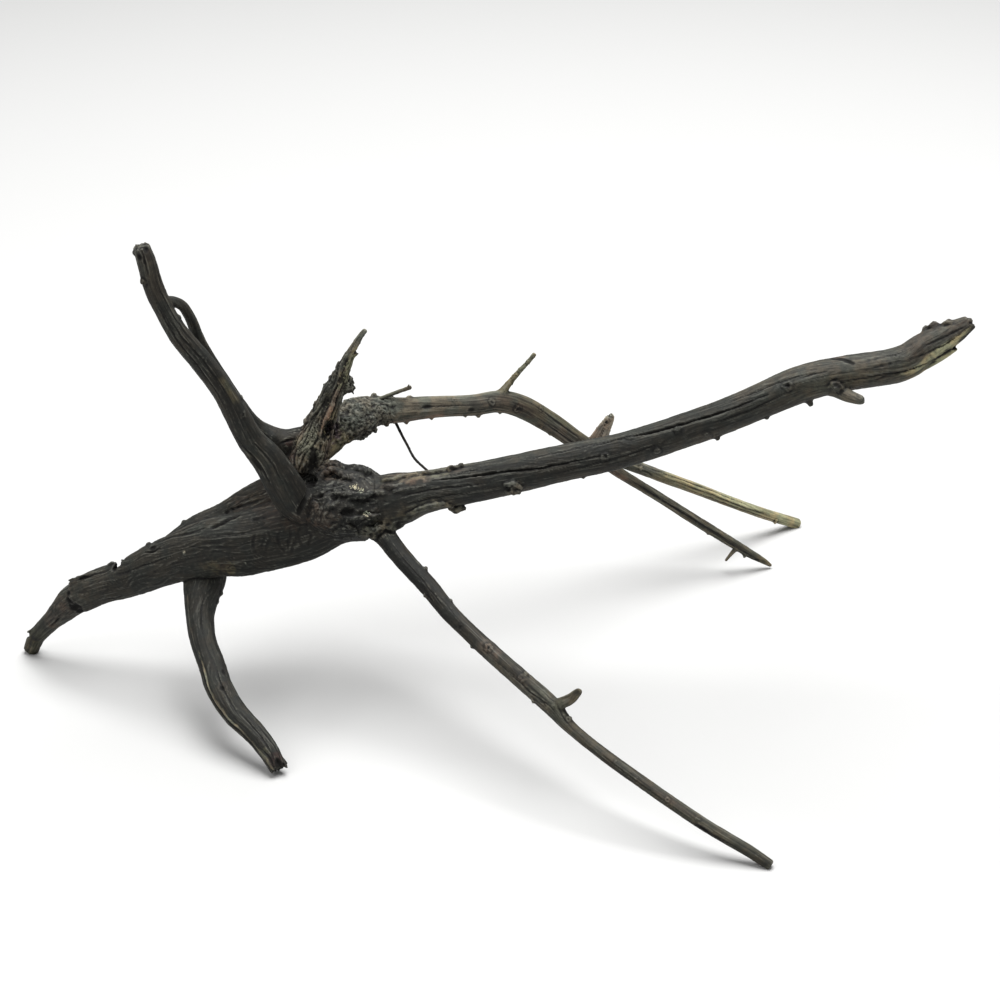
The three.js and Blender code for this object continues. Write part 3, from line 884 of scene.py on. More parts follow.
@dataclass
class Crown(Growth):
    """The lumpy knot of wood in the middle, where every limb starts."""

    name: str = "crown"
    slot: Slot = Slot.DARK
    tone: Colour = ASH(14.8)
    relief: Relief = Relief(flutes=0.7, ridges=0.45, fibres=0.12, gnarls=0.4, pores=0.15, creases=0.7)
    middle: Place = (-93.0, 4.0, 140.0)
    half_size: Place = (36.0, 30.0, 23.0)
    bosses: tuple[tuple[Place, float, float], ...] = (
        ((-0.4, 0.1, 0.9), 2.5, 14), ((0.1, 0.2, 1), 1.5, 30), ((0.45, -0.6, -0.7), 6, 12), ((0.1, -1, 0.35), 2.5, 10),
        ((-0.3, -0.9, 0.1), 2, 14), ((0.3, 1, 0.1), 4, 8), ((-0.5, 0.8, -0.3), 3, 10), ((0.9, 0.3, -0.3), 3, 12),
        ((0, 0.3, -1), 3, 8))
    gnarl_height: float = 1.2
    pits_at: tuple[tuple[Place, float, float], ...] = (
        ((6, -31, 7), 3.2, 1.6), ((-24, -8, 20), 5, 1), ((10, 26, -8), 4, 1.6), ((-3, -29, 17), 1.2, 1.4),
        ((-14, -22, 15), 1.4, 1.6))
    rolls: Bars = each(Bar,
        (((-109, 5, 164), (-103, 8, 165.5), (-97, 9, 165.5), (-91, 5, 165)), 3.2, 1.2),
        (((-87, 6, 161.5), (-82, 7, 162.5), (-76, 6, 161), (-70, 4, 158)), 3.2, 1.2),
        (((-104, -3, 164.5), (-98, 0, 166.5), (-93, -4, 164.5), (-86, -6, 162)), 2.4, 1),
        (((-99, -19, 158), (-90, -21, 158), (-82, -20, 157), (-74, -18, 155.5)), 1.6, 1.2),
        (((-56, -15, 157), (-45, -16, 159), (-35, -17, 162.5)), 1.3, 1.2),
        (((-108, -20, 149), (-105, -16, 156), (-98, -13, 158), (-93, -19, 156), (-94, -24, 153),
         (-100, -25, 150)), 1.5, 1.2),
        (((-86, -21, 154), (-78, -18, 155), (-70, -13, 155), (-62, -13, 155)), 2.2, 2.4),
        (((-98, -26, 130), (-93, -28, 135), (-87, -28, 136.5), (-83, -26.5, 133.5), (-81, -25, 127)), 1.5, 0.8),
        (((-79, -21, 131), (-72, -18, 126), (-63, -17, 130), (-54, -15, 133), (-47, -17, 138)), 4.6, 2.5),
        (((-76, -24, 133), (-70, -22, 130), (-66, -21, 132)), 2.4, 1.2),
        (((-88, -28, 143), (-80, -27, 143), (-74, -24, 142), (-66, -21, 142)), 1.6, 1.6),
        (((-67, -10, 155), (-61, -11, 158), (-53, -13, 159)), 1.8, 1.2))
    cuts: Bars = each(Bar,
        (((-111, 3, 178), (-112, 1, 167), (-114, -9, 160), (-116, -18, 156)), 3.6),
        (((-117, -20, 155), (-119, -24, 150), (-121, -25, 144)), 2),
        (((-78, -25, 146), (-71, -22.5, 148), (-62, -20, 147)), 1.8),
        (((-95, -25, 125), (-91, -29, 132), (-86, -28.5, 132.5), (-84, -26, 128)), 1.3),
        (((-90, -6, 167), (-88.5, 4, 166), (-88, 12, 164)), 1.2))
    grooves: Grooves = each(Groove,
        (((-93, -13, 159.5), (-81, -17, 158), (-70, -12, 153)), 1.5, 0.9),
        (((-87, -23, 154), (-80, -21, 153), (-74, -18, 151), (-62, -17, 150)), 1.8, 1.1),
        (((-103, -19, 155), (-99, -19, 157), (-97, -22, 154), (-100, -24, 152)), 1.2, 0.9),
        (((-69, -22, 121), (-67, -23, 126), (-62, -21.5, 129.5), (-57, -21, 127), (-54, -18, 124)), 1.5, 1.6),
        (((-104, -24, 148), (-96, -27, 149), (-88, -27, 151), (-80, -24, 150)), 1.2, 0.8),
        (((-100, -3, 163), (-90, -5, 162), (-80, -5, 161)), 1.6, 1))
    blots: Blots = each(Blot,
        ((-104, -26, 142), 9.5, RUST(45), 0.8), ((-120, -20, 140), 8, RUST(42.7), 0.75),
        ((-70, -22, 145), 5, ROSE(34.5), 0.8), ((-75, -24, 128), 7, DUN(105), 0.75),
        ((-62, -20, 133), 8, DUN(93.1), 0.7), ((-102, 2, 165), 9, RUST(53.7), 0.7),
        ((-90, -4, 163), 7, ROSE(47.3), 0.6), ((-48, -20, 143), 6, DUN(94.1), 0.6),
        # The two blots on the next line are painted shade: near-black around the crevice between the front horn's base
        # and the crown.
        ((-113, -1, 165), 8, GREY(4.6), 0.9), ((-118, -21, 151), 6, GREY(5.6), 0.8),
        ((-106, 12, 169), 4, BRICK(17.6), 0.8), ((-72, -8, 157), 9, ASH(34.9), 0.5),
        ((-48, -20, 140), 6, DUN(57.7), 0.6), ((-60, -11, 158), 6, ROSE(55.3), 0.7))
    lichen: Blots = each(Blot,
        ((-82, -13, 160), 3.8, DUN(419), 1), ((-78, -13, 158), 3.2, DUN(419), 1), ((-80, -18, 157), 2.8, ASH(451), 1),
        ((-75, -24, 143.5), 3, ASH(417), 0.9), ((-73, -9, 159), 1.8, DUN(341), 0.8),
        ((-73, -22, 139), 1.8, ASH(217), 0.7), ((-72, -14, 156), 1.6, ASH(217), 0.7))
    blend: float = 5.0

    def __post_init__(self) -> None:
        """Places the crown in the finished frame."""
        self.centre = np.array(self.middle, np.float32) + ROUTE_SHIFT
        self.reach = max(self.half_size) + max(height for _, height, _ in self.bosses) + self.blend + BAND

    def radius(self, directions: Array) -> Array:
        """How far the crown reaches in each direction."""
        total = 1 / np.linalg.norm(directions / np.array(self.half_size, np.float32), axis=1)
        for axis, height, narrowness in self.bosses:
            facing = directions @ unit(np.array(axis, np.float32))
            total += height * np.exp(narrowness * (facing - 1))
        x, y, z = directions.T
        return total + self.gnarl_height * np.sin(7 * x + 2) * np.sin(8 * y + 1) * np.sin(7 * z)

    def distance(self, points: Array) -> Array:
        """How far points are outside the crown."""
        offset = points - self.centre
        away = np.linalg.norm(offset, axis=1) + 1e-4
        return away - self.radius(offset / away[:, None])

    def pits(self) -> list[Pit]:
        """The crown's pits as ellipsoids."""
        found = []
        for axis, size, stretch in self.pits_at:
            direction = unit(np.array([axis], np.float32))
            point = self.centre + direction[0] * self.radius(direction)[0]
            found.append(Pit(point, np.array([1.0, 0, 0]), size, stretch))
        return found

    def grain(self, points: Array) -> Array:
        """The crown's swirling grain, whose last coordinate runs with it."""
        swirl = np.stack([noise(points / 18, seed) for seed in (51, 52, 53)], 1) * 9
        return (points + swirl)[:, [1, 2, 0]]

    def heights(self, points: Array) -> Array:
        """How far the crown's relief stands out or in, in millimetres."""
        relief = self.relief
        grain = self.grain(points)
        folds = np.abs(CROWN_FOLDS.at(grain)) * 2 - 0.4
        creases = np.exp(-(CROWN_CREASES.at(grain) / 0.1) ** 2) * smooth_step(CREASED_PARTS.at(points), -0.5, 0.2)
        gnarls = layered_noise(points / 9, 3, 56)
        pores = smooth_step(CROWN_PORES.at(points), 0.3, 0.55)
        return (relief.flutes * CROWN_FLUTES.at(grain) + relief.ridges * folds + relief.fibres * CROWN_FIBRES.at(grain)
                + relief.gnarls * gnarls - relief.creases * creases - relief.pores * pores)


@dataclass
class LeftRoot(Limb):
    """The thick flattened root that runs to the left and bends down to the ground."""

    name: str = "left_root"
    slot: Slot = Slot.DARK
    tone: Colour = ASH(22.9)
    relief: Relief = Relief(flutes=0.45, ridges=0.1, fibres=0.08, gnarls=0.15, plates=0.35, checks=4)
    strands: tuple[Strand, ...] = (
        Strand([
            (-95, -2, 135, 20, 12.5), (-123, -6, 122, 22, 13), (-158, -8, 113, 22.5, 13), (-176, -8, 110, 22, 12.5),
            (-194, -6, 105, 19.8, 12), (-212, -3, 97, 16.8, 11.5), (-231, 1, 87, 15.2, 11), (-250, 5, 76, 13.8, 10.5),
            (-270, 9, 67, 13, 11), (-284, 12, 59, 12.9, 10.9),
            (-289, 13, 56, 12.2, 10.4)], 0.4, 0.035, 7, Tear(1.4, 2.6, 0, -0.25)),
        Strand([
            (-113, 12, 144, 14, 11), (-134, 14, 139, 15.5, 12.5), (-152, 14, 132, 15.5, 11.5), (-177, 12, 119, 13, 9),
            (-195, 9, 113, 11, 8), (-211, 6, 105, 8.5, 6), (-225, 4, 98, 5, 4)], 2.1, 0.04, 3),
        Strand([
            (-277, 11, 64, 9.5, 9), (-290, 13.6, 54, 10.8, 9.8), (-299.5, 16.5, 44, 9.1, 8.6), (-309, 20, 33, 7.2, 7),
            (-317.5, 23, 23, 6.6, 6.4), (-324, 26, 14, 6.2, 6), (-329.5, 29, 1.5, 5.6, 5.4)], 0.7, 0.05, 1),
    )
    fades: tuple[Fade, ...] = (
        ((0, ASH(21.6)), (4.5, ASH(23.9)), (7.5, ASH(31.3)), (9.2, GREY(38.7))),
        ((0, ROSE(25.6)), (2.6, DUN(23.9)), (4, ASH(23.6))), ((0, GREY(41.9)), (3.4, GREY(45.1)), (4.3, STRAW(46.6))))
    nubs: Nubs = each(Nub,
        (5.75, 178, 1.6, 2.4, 1.4), (4.4, 180, 1.4, 2.5, 1.2, 0.5, 1), (3.2, 75, 3, 3.5, 2), (5.5, -150, 1, 1.8, 1))
    hollows: Hollows = each(Hollow,
        (9.8, -52, 2.8, 1.2), (9.5, -110, 1.4), (9.7, -22, 2.6, 1.2), (2.6, 95, 3.5, 2.4), (5.45, -138, 1.2, 1.6))
    cuts: Bars = each(Bar,
        (((-256.6, -2.6, 88), (-256.6, 18.6, 76.8)), 1.1, 0.5),
        (((-255.6, -2.6, 90.5), (-255.6, 18.6, 79.3)), 1.4, 0.5),
        (((-253.9, -3.6, 93.8), (-253.9, 18.6, 82)), 2.3, 0.5), (((-250.5, -3.6, 98.3), (-250.5, 18.6, 86.5)), 2, 0.5),
        (((-257, -2, 84), (-251, -4, 85.5), (-245, -6, 88)), 1.2, 0.5),
        (((-329.3, 17, 20.7), (-329.3, 33, 12.2)), 1.2, 0.3), (((-331, 20, 17), (-326, 17.5, 15)), 1.2, 0.8),
        (((-293, 5, 59), (-290, 2, 58)), 1.5, 0.6), (((-286.5, 2, 56), (-284, 2, 52)), 2, 0.8),
        (((-291, 3, 55), (-287.5, 2, 53)), 1.2, 0.6),
        (((-154, -9.5, 132), (-148, -9.5, 134), (-143, -9.5, 136), (-138, -8, 138)), 1.3))
    rolls: Bars = each(Bar,
        (((-291.6, 10, 71.6), (-281, 8, 76.5), (-270, 8, 79.6), (-263, 8, 82)), 1.1, 1.4),
        (((-264, 8, 83), (-260.5, 8, 86), (-258.2, 8, 88)), 1.1, 0.8), (((-322, 24, 22), (-329.2, 24, 19.9)), 1, 0.8),
        (((-266, 8, 81.5), (-262, 8, 84), (-259.8, 8, 87.2)), 1.4, 0.8),
        (((-213, 3, 109), (-206, 5, 113), (-199, 6, 116)), 1.8, 1.2))
    grooves: Grooves = each(Groove,
        *((((x, -17, z), (x + lean, -19.5, z - 5), (x - 1, -21, z - 10),
         (x - lean, -22, z - 15)), 1.6, 0.5) for x, z, lean in ((-153, 125, -1.5), (-147, 129, 1), (-144, 127, 2),
         (-139, 131, -1), (-135, 128, -2.5), (-129, 130, 1), (-126, 127, 2), (-121, 131, -2), (-115, 129, 1))),
        (((-164, -3, 133), (-171, -5, 130), (-179, -9, 128), (-186, -9, 123)), 2.3, 2),
        (((-164, 6, 134), (-174, 7, 129), (-184, 1, 128), (-197, 2, 124)), 1.7, 1.3),
        (((-188, -8, 125), (-200, -7, 120), (-215, -2, 113), (-228, 1, 107)), 1.5, 1),
        (((-148, 4, 141), (-161, 6, 135), (-173, 7, 131)), 1.5, 1.1),
        (((-189, 1, 126), (-200, -1, 122), (-212, -1, 116)), 1.4, 0.9),
        (((-140, 2, 143), (-150, 1, 140), (-160, 0, 136)), 1.5, 1),
        (((-196, -12, 118), (-181, -16, 122), (-166, -17, 124), (-156, -17, 125)), 1.4, 0.8),
        (((-200, -14, 113), (-186, -19, 114), (-172, -21, 116), (-160, -21, 118)), 1.4, 0.7),
        (((-191, -15, 116), (-180, -18, 118), (-170, -19, 120)), 1.3, 0.6),
        (((-268, 0, 71), (-276, 1, 68), (-284, 2, 66)), 1.8, 0.8))
    blots: Blots = each(Blot,
        ((-204, -15, 109), 1.1, ASH(494), 1), ((-160, -24, 105), 1, ASH(445), 1),
        ((-152, 6, 140), 6, STRAW(49.2), 0.7), ((-165, 7, 135), 7, RUST(35.2), 0.6),
        ((-150, 1, 140), 9, RUST(26.4), 0.7), ((-140, -11, 134), 9, RUST(40.9), 0.7),
        ((-128, -15, 133), 7, RUST(35.2), 0.7), ((-114, -20, 146), 8, RUST(43.5), 0.75),
        ((-105, -26, 142), 8, RUST(45.5), 0.75), ((-149, -4, 136), 7, RUST(39), 0.7),
        ((-172, -24, 101), 6, STRAW(105), 0.8), ((-182, -23, 101), 6.5, STRAW(73.8), 0.75),
        # The blot at (-288, 2, 56) is painted shade at the step near the root's end, with a reddish tint.
        ((-190, -20, 100), 5, DUN(54.8), 0.6), ((-288, 2, 56), 6, ROSE(13.5), 0.85),
        ((-283, 1, 60), 5, GREY(58.3), 0.6), ((-299, 6, 52), 7, ROSE(72), 0.7), ((-309, 10, 37), 9, ROSE(66.4), 0.7),
        ((-318, 14, 25), 5, DUN(54.7), 0.7), ((-321, 17, 16), 3, DUN(16.9), 0.8),
        ((-175, -21, 102), 5, RUST(24.6), 0.7), ((-303, 8, 42), 5, RUST(45.4), 0.6),
        ((-330, 22, 10), 6, STRAW(57.1), 0.7), ((-324, 20.5, 17), 3, ASH(8), 0.9),
        ((-328.5, 23.4, 6.6), 3.2, DUN(120), 0.7))
    cracks: Cracks = each(Crack,
        (((5.1, -138), (5.5, -139), (5.8, -146)), 1.3, 1.8), (((4.6, -100), (5.6, -104), (6.8, -112)), 1, 0.9),
        (((1.9, -66), (2.4, -62), (3, -60)), 1.2, 1.6, None, 2), (((7.2, -140), (8, -140), (8.8, -150)), 1.1, 0.9))
    patches: Patches = each(Patch,
        (2.4, 5.2, -150, 26, ASH(35.6), 0.6), (5.6, 7, -150, 30, ASH(43.8), 0.6),
        (7.4, 9.2, -100, 50, GREY(42.8), 0.5), (2.4, 4.6, -70, 28, ASH(38.8), 0.5, 1))


@dataclass
class LeftLeg(Limb):
    """The leg that drops from under the left root to the front."""

    name: str = "left_leg"
    slot: Slot = Slot.DARK
    tone: Colour = ASH(22.5)
    relief: Relief = Relief(flutes=0.35, ridges=0.08, fibres=0.08, gnarls=0.12, plates=0.2, checks=3)
    strands: tuple[Strand, ...] = (
        Strand([
            (-191.5, -2.4, 93.5, 15, 9), (-192, -8, 83, 14.6, 9.6), (-193, -19, 76, 12.3, 10.5),
            (-193, -33, 68, 10, 9), (-189.5, -49, 58.6, 9.2, 8.3), (-182.5, -64, 48, 9.2, 8.3),
            (-176, -79, 38, 9.3, 8.5), (-164, -95, 28, 8.5, 8.2), (-151, -108, 22, 7.6, 7.4),
            (-139.5, -120, 14, 6.9, 6.8), (-131, -130, 3, 5.7, 5.4)], 0.1, 0.045, 1, Tear(4.5, 1.7, 2.5)),
    )
    nubs: Nubs = each(Nub,
        (9.7, 20, 2, 2.2, 0.8, 2), (4.6, 100, 2, 2.4, 1.4), (1.75, 5, 0.9, 2.4, 1.6, 0.9), (2.25, 3, 0.8, 1.8, 1, 0.8),
        (9.9, -20, 1.6, 1.2, 0.4, 2.4))
    hollows: Hollows = each(Hollow,
        (9.75, -62, 2.3, 1.6), (5.61, -39, 0.8, 1.8), (6.25, -70, 0.8, 1.5), (10, -95, 2.2, 1))
    cracks: Cracks = each(Crack,
        # The pale raised lines here, on the first, third and fourth cracks, are a painted highlight streak down the
        # leg's left side, on low real ridges.
        (((4.4, -118), (5.17, -122), (6, -126), (6.77, -124), (7.6, -124), (8.55, -128)), 1.5, -0.7, DUN(334)),
        (((4.7, -134), (5.8, -140), (6.8, -140), (7.8, -140), (9, -144)), 1.6, 1.3),
        (((8.4, -126), (9, -130), (9.6, -124), (10, -116)), 1.4, -0.7, DUN(255)),
        (((1.8, -150), (2.6, -141), (3.6, -132), (4.4, -126)), 1.2, -0.3, GREY(83.6)),
        (((2.2, -70), (3.3, -72), (4.2, -78)), 1, 0.8), (((5.2, -60), (6.4, -66), (7.4, -72)), 0.9, 0.8),
        (((7.2, -60), (8.2, -66), (9.2, -70)), 1, 0.9), (((8, -38), (8.8, -36), (9.6, -40)), 1, 1))
    blots: Blots = each(Blot,
        ((-134, -128, 13), 5.5, BRICK(17.5), 0.95), ((-140, -124, 17), 3, STRAW(98.9), 0.6),
        ((-172, -84, 43), 4, RUST(22), 0.5), ((-131, -133, 6), 4, ASH(45.2), 0.6))
    patches: Patches = each(Patch,
        (1.2, 4.4, -80, 34, ASH(18.6), 0.6), (3, 5.4, -50, 22, ASH(45.6), 0.6), (5.2, 9.4, -75, 30, DUN(22.1), 0.6),
        (5.4, 8.9, -20, 26, ASH(39.1), 0.6))


@dataclass
class RightLeg(Limb):
    """The long thin leg that runs to the front right, with nubs and a short spur."""

    name: str = "right_leg"
    slot: Slot = Slot.GREY
    tone: Colour = DUN(65.7)
    relief: Relief = Relief(flutes=0.3, ridges=0.12, fibres=0.08, gnarls=0.12, plates=0.15, checks=3)
    strands: tuple[Strand, ...] = (
        Strand([
            (-70, -8, 127, 8.8), (-63, -16, 123, 7.8), (-52, -30, 115, 6.8), (-34, -48, 103, 6.4), (-17, -67, 91, 6.1),
            (0, -86, 83, 6), (34, -121, 69, 6.2), (51, -138, 62, 6.1), (65, -153, 53, 4.3), (98, -180, 40, 4.1),
            (145, -210, 21, 4), (176, -224, 8, 3.9), (189, -230, 1.6, 3.5)], 2.3, 0.05, 1.2),
        Strand([
            (51, -139, 62, 4.5), (57, -142, 66.5, 3.8, 3.2), (63, -144.5, 71.5, 3.6, 2.2),
            (67.5, -146, 77.5, 2.8, 1.5), (69.5, -147, 80.5, 1.7, 1)], 0.7, 0.05, 2.5),
    )
    fades: tuple[Fade, ...] = (
        ((0, ASH(16.5)), (3.8, ASH(18.5)), (5.2, GREY(34)), (6.4, DUN(59.5)), (9, DUN(64.8)), (12, DUN(60.9))),
        ((0, DUN(79.6)), (3, DUN(117))))
    nubs: Nubs = each(Nub,
        (2.75, -12, 2, 1.9, 1.1), (3.29, -145, 1.8, 1.7, 0.9), (3.8, -20, 1.2, 1.4, 0.8), (5.09, -165, 1.3, 1.6, 0.9),
        (6.5, -150, 1.8, 1.8, 1), (7.77, -30, 1.4, 1.9, 1.2), (5.94, -40, 1.2, 2.2, 1.5))
    hollows: Hollows = each(Hollow, (4.67, -108, 1, 1.1), (10.1, -135, 1, 4))
    knots: Knots = each(Knot,
        (4.67, -108, 2.2, 0.5), (5.33, -74, 3.2, 0.7), (5.97, -80, 3.2, 0.5), (6.45, -146, 1.8, 0.6),
        (7.77, -50, 2, 0.6), (9.57, -81, 1.9, 0.5), (9.96, -66, 1.9, 0.5), (8.84, -70, 1.2, 0.3),
        (8.24, -69, 1.1, 0.3), (9.18, -90, 1.3, 0.3), (11.2, -80, 1.3, 0.3))
    cracks: Cracks = each(Crack,
        (((9.8, -150), (10.1, -141), (10.35, -128), (10.7, -112)), 1.1, 1.2),
        (((5.4, -110), (6.4, -112), (7.2, -96), (7.8, -100)), 0.9, 0.7),
        (((6.6, -60), (7.4, -66), (8.2, -84)), 0.9, 0.7), (((8.5, -100), (9.3, -108), (9.9, -118)), 0.8, 0.6),
        (((10.6, -70), (11.2, -74), (11.8, -70)), 0.8, 0.6), (((1.3, -80), (2.6, -90), (4.2, -96)), 0.8, 0.5))
    patches: Patches = each(Patch,
        # The first patch on the next line is a painted highlight, a lighter strip along the leg's upper edge.
        (1.1, 4.9, -5, 34, GREY(67), 0.75), (5.7, 5.93, -45, 40, ASH(18.6), 0.9),
        (5.12, 5.55, -74, 50, ROSE(98.5), 0.7), (5.84, 6.05, -95, 30, ROSE(91), 0.7),
        (5.7, 5.95, -60, 40, GREY(27.4), 0.7), (4.9, 7.6, -130, 34, GREY(101), 0.6),
        (6.4, 7.6, -62, 18, DUN(120), 0.7), (8.2, 9.6, -70, 26, GREY(85), 0.6), (9.3, 10, -75, 26, RUST(79.1), 0.5),
        (9.9, 10.5, -145, 30, GREY(11.1), 0.85), (8.3, 9.6, -130, 40, DUN(46), 0.6),
        (10.5, 12, -110, 40, DUN(45.2), 0.6))


@dataclass
class LongBranch(Limb):
    """The long heavy branch that rises to the right and ends in a split tip."""

    name: str = "long_branch"
    slot: Slot = Slot.DARK
    tone: Colour = ASH(26)
    relief: Relief = Relief(flutes=0.3, ridges=0.07, fibres=0.08, gnarls=0.12, plates=0.2, checks=2)
    strands: tuple[Strand, ...] = (
        Strand([
            (-72, 0, 139, 18.5, 16), (-52, -4, 145, 18, 16), (-35, -7, 152, 15, 14.5), (0, -10, 161, 13.6, 13),
            (51, -16, 177, 12.6), (102, -20, 192, 12), (151, -24, 212, 11.5, 12), (184, -25, 227, 11.3, 12),
            (217, -25, 243, 12.2, 12), (248, -23, 250, 12, 11), (283, -20, 255, 11.8, 9.8), (299, -18, 266, 10.4, 8),
            (315, -16, 275, 8.6, 6), (325, -15, 281, 6, 4), (330, -14, 284, 4, 2.6)], 0.9, 0.03, 4, Tear(3.5, 2)),
        Strand([
            (262, -21, 246, 5.5, 4.5), (286, -22, 250, 4.2, 3.6), (299, -22, 256, 3.8, 2.6), (310, -21, 262, 3.4, 2),
            (320, -20, 267, 1.4, 1)], 0.5, 0.05, 1.2),
        Strand([
            (238, -29, 242, 5.5, 5), (246, -36, 240, 4.4, 3.8), (254, -41, 239, 3.4, 2.8),
            (257, -43, 240, 2.6, 2)], 1.2, 0.05, 2.5, Tear(1, 1.2)),
    )
    fades: tuple[Fade, ...] = (
        ((0, ASH(21.2)), (4.5, ASH(20.4)), (6, ASH(25.5)), (7.4, ASH(43)), (9.5, GREY(59.6)), (11.5, GREY(58.1)),
         (13.2, GREY(46.8))), ((0, DUN(94.3)), (1.6, STRAW(370)), (4, STRAW(500))), ((0, GREY(81.5)), (2, GREY(132))))
    nubs: Nubs = each(Nub,
        (4.4, -172, 1, 1.3, 0.8), (5.4, -128, 1.5, 2.6, 1.6), (6.22, -170, 2.4, 2.2, 1.3), (7.2, -176, 1.6, 1.6, 0.9),
        (8.05, 178, 4, 3, 1.5, 0.2), (8.75, -138, 2.4, 3.8, 2.6), (11.6, 0, 2, 3, 2), (12.25, -6, 1.8, 2.6, 1.6),
        (4.2, 60, 2.4, 2.4, 1.4), (6.6, 95, 2.6, 2.6, 1.4), (5.73, -78, 0.8, 2.2, 1.4), (6.1, -130, 1.2, 1.8, 1))
    rolls: Bars = each(Bar,
        (((-64, -4, 159.5), (-55, -6, 162), (-48, -6, 164), (-41, -7, 166)), 1.9, 1.2),
        (((-36, -8, 168), (-28, -9, 169.2), (-21, -10, 170.5)), 1.5, 1.2),
        (((-62, -12, 159), (-55, -12, 159.6), (-50, -12, 160.5)), 1.3, 1),
        (((-20, -9, 169), (-17, -10, 172.5), (-13.5, -10, 173.5)), 1.8, 1),
        (((-13, -9, 171), (-10, -9, 174.2), (-8, -9, 173)), 1.7, 1),
        (((-46, -21.5, 143), (-37, -22.5, 147.5), (-29, -23, 150.5), (-22, -22.5, 151), (-16, -20, 148)), 2, 1),
        (((-17, -18, 145.4), (-13, -17, 144), (-8, -16, 144.3)), 2.7, 1),
        (((21, -26.5, 168), (26, -26.5, 169), (31, -27, 166)), 2.4, 0.8), (((22, -26, 163), (30, -28, 163)), 2.8, 0.8),
        (((297.5, -13, 275), (299.5, -12, 278.5)), 1.7, 0.8),
        (((301, -12, 277), (304.5, -12.5, 281), (309, -14, 280)), 1.8, 0.8),
        (((309, -14, 280), (312, -15, 283), (316, -15, 283)), 1.6, 0.8),
        (((234, -32, 247), (239, -35, 246), (243, -34, 243)), 3.4, 1.2),
        (((286, -24, 248), (298, -23, 254), (309, -21, 261), (316, -20, 267)), 1.8, 0.8))
    cuts: Bars = each(Bar,
        (((236, -21, 260), (242, -23.5, 261), (250, -29, 260)), 1.2), (((238, -38, 249), (242, -38.5, 247)), 1.3),
        (((246, -36.5, 247), (249, -38.5, 245)), 1.2), (((26, -29.5, 166), (28.5, -30.5, 165)), 0.9),
        (((-17, -11.5, 173.5), (-15, -12, 173.5)), 1), (((24, -27.5, 164.8), (22, -27.5, 164.5)), 0.8))
    grooves: Grooves = each(Groove,
        (((258, -33, 246), (265, -33, 249), (273, -31, 252), (284, -31, 254), (297, -28, 258),
         (307, -24, 262)), 1.1, 0.8), (((296, -25, 270), (311, -22, 276), (324, -19, 282)), 1.1, 0.8),
        (((285, -29, 261), (298, -27, 266), (311, -24, 271), (322, -21, 278)), 1.1, 0.7),
        (((255, -32, 255), (268, -30, 258), (281, -28, 261)), 1.1, 0.5),
        (((250, -29, 259), (262, -27, 261), (276, -24, 264)), 1.1, 0.4),
        (((225, -33, 246), (234, -34, 249), (240, -35, 252)), 1.3, 0.8))
    hollows: Hollows = each(Hollow, (7.78, -81, 1.2), (3.4, 110, 2, 3), (3.85, -66, 0.9, 1.6, 1))
    knots: Knots = each(Knot,
        (3.52, -136, 3.4, 0.9), (4.76, -100, 3.2, 0.7), (5.4, -130, 2.6, 0.8), (5.73, -80, 3, 0.8),
        (7.78, -81, 3.6, 0.8), (6.2, -155, 2, 0.7), (5.12, -54, 2.4, 0.5), (2.75, -15, 2.4, 0.8), (9.9, -60, 2.2, 0.5))
    cracks: Cracks = each(Crack,
        (((2.2, -60), (3.12, -69), (3.54, -78), (3.95, -93), (4.36, -93), (4.8, -93)), 1.3, 2.2),
        (((4.5, -57), (5.08, -51), (5.49, -63), (5.83, -69), (6.37, -75), (6.94, -78), (7.5, -81)), 1.2, 2),
        (((8.7, -122), (9.61, -117), (10.5, -129)), 0.9, 0.9), (((1.2, -84), (2.4, -88), (3.4, -100)), 1, 0.9),
        (((1.5, -108), (2.3, -112), (3.1, -118)), 1, 0.9), (((3.7, -55), (4.3, -52), (4.9, -48)), 0.9, 0.8),
        (((4.1, -118), (5, -112), (5.6, -104)), 0.9, 0.8), (((6.2, -100), (7, -104), (7.7, -100)), 1, 1),
        (((6.6, -50), (7.4, -56), (8.2, -66)), 0.9, 0.8), (((7.9, -70), (8.6, -74)), 0.9, 0.7))
    patches: Patches = each(Patch,
        (0.75, 3.1, -30, 26, ROSE(85.7), 0.75), (1.6, 3.3, -8, 26, DUN(92.9), 0.7),
        (1.3, 2.8, -160, 42, DUN(67.1), 0.8), (0.4, 1.5, -60, 26, ASH(29.7), 0.4), (3, 6.4, -28, 26, ASH(57.1), 0.6),
        (3.2, 4.9, -160, 24, GREY(58.3), 0.6), (4.8, 7.4, -160, 30, GREY(73.1), 0.6),
        (6.4, 8.6, -35, 30, GREY(77.3), 0.6), (7.6, 9.8, -120, 34, DUN(97.8), 0.6),
        (8.8, 11.2, -60, 30, GREY(88.3), 0.6), (9.6, 11.4, -120, 30, DUN(106), 0.6),
        (11, 14, -40, 26, GREY(82.4), 0.6), (11.4, 14, -80, 30, ROSE(58), 0.7), (9.8, 13.6, -136, 16, STRAW(500), 0.9))
    blots: Blots = each(Blot,
        ((97, -28, 178), 2, ASH(197), 0.8), ((-44, -11, 163), 4.5, RUST(91.2), 0.7),
        ((-33, -12, 166), 4.5, ROSE(92.4), 0.6), ((-13, -9, 174), 4, DUN(67), 0.7),
        *((place, 4.6, DUN(146), 0.75) for place in ((-62, -5, 161), (-54, -7, 163), (-45, -9, 166), (-37, -9, 167),
         (-28, -10, 169), (-20, -11, 170))),
        *((place, 3.8, DUN(137), 0.75) for place in ((-43, -21, 146), (-35, -22, 149), (-27, -23, 151),
         (-19, -21, 150), (-12, -18, 145))), ((309, -23, 262), 6, STRAW(450), 0.7),
        ((316, -22, 269), 5, STRAW(500), 0.7), ((294, -22, 269), 12, ROSE(69.9), 0.6),
        ((27, -28, 166), 5.5, GREY(157), 0.75), ((240, -36, 249), 5, GREY(27.3), 0.8),
        ((304, -12, 281), 7, ROSE(22.6), 0.8), ((242, -20, 262), 5, ROSE(105), 0.6))


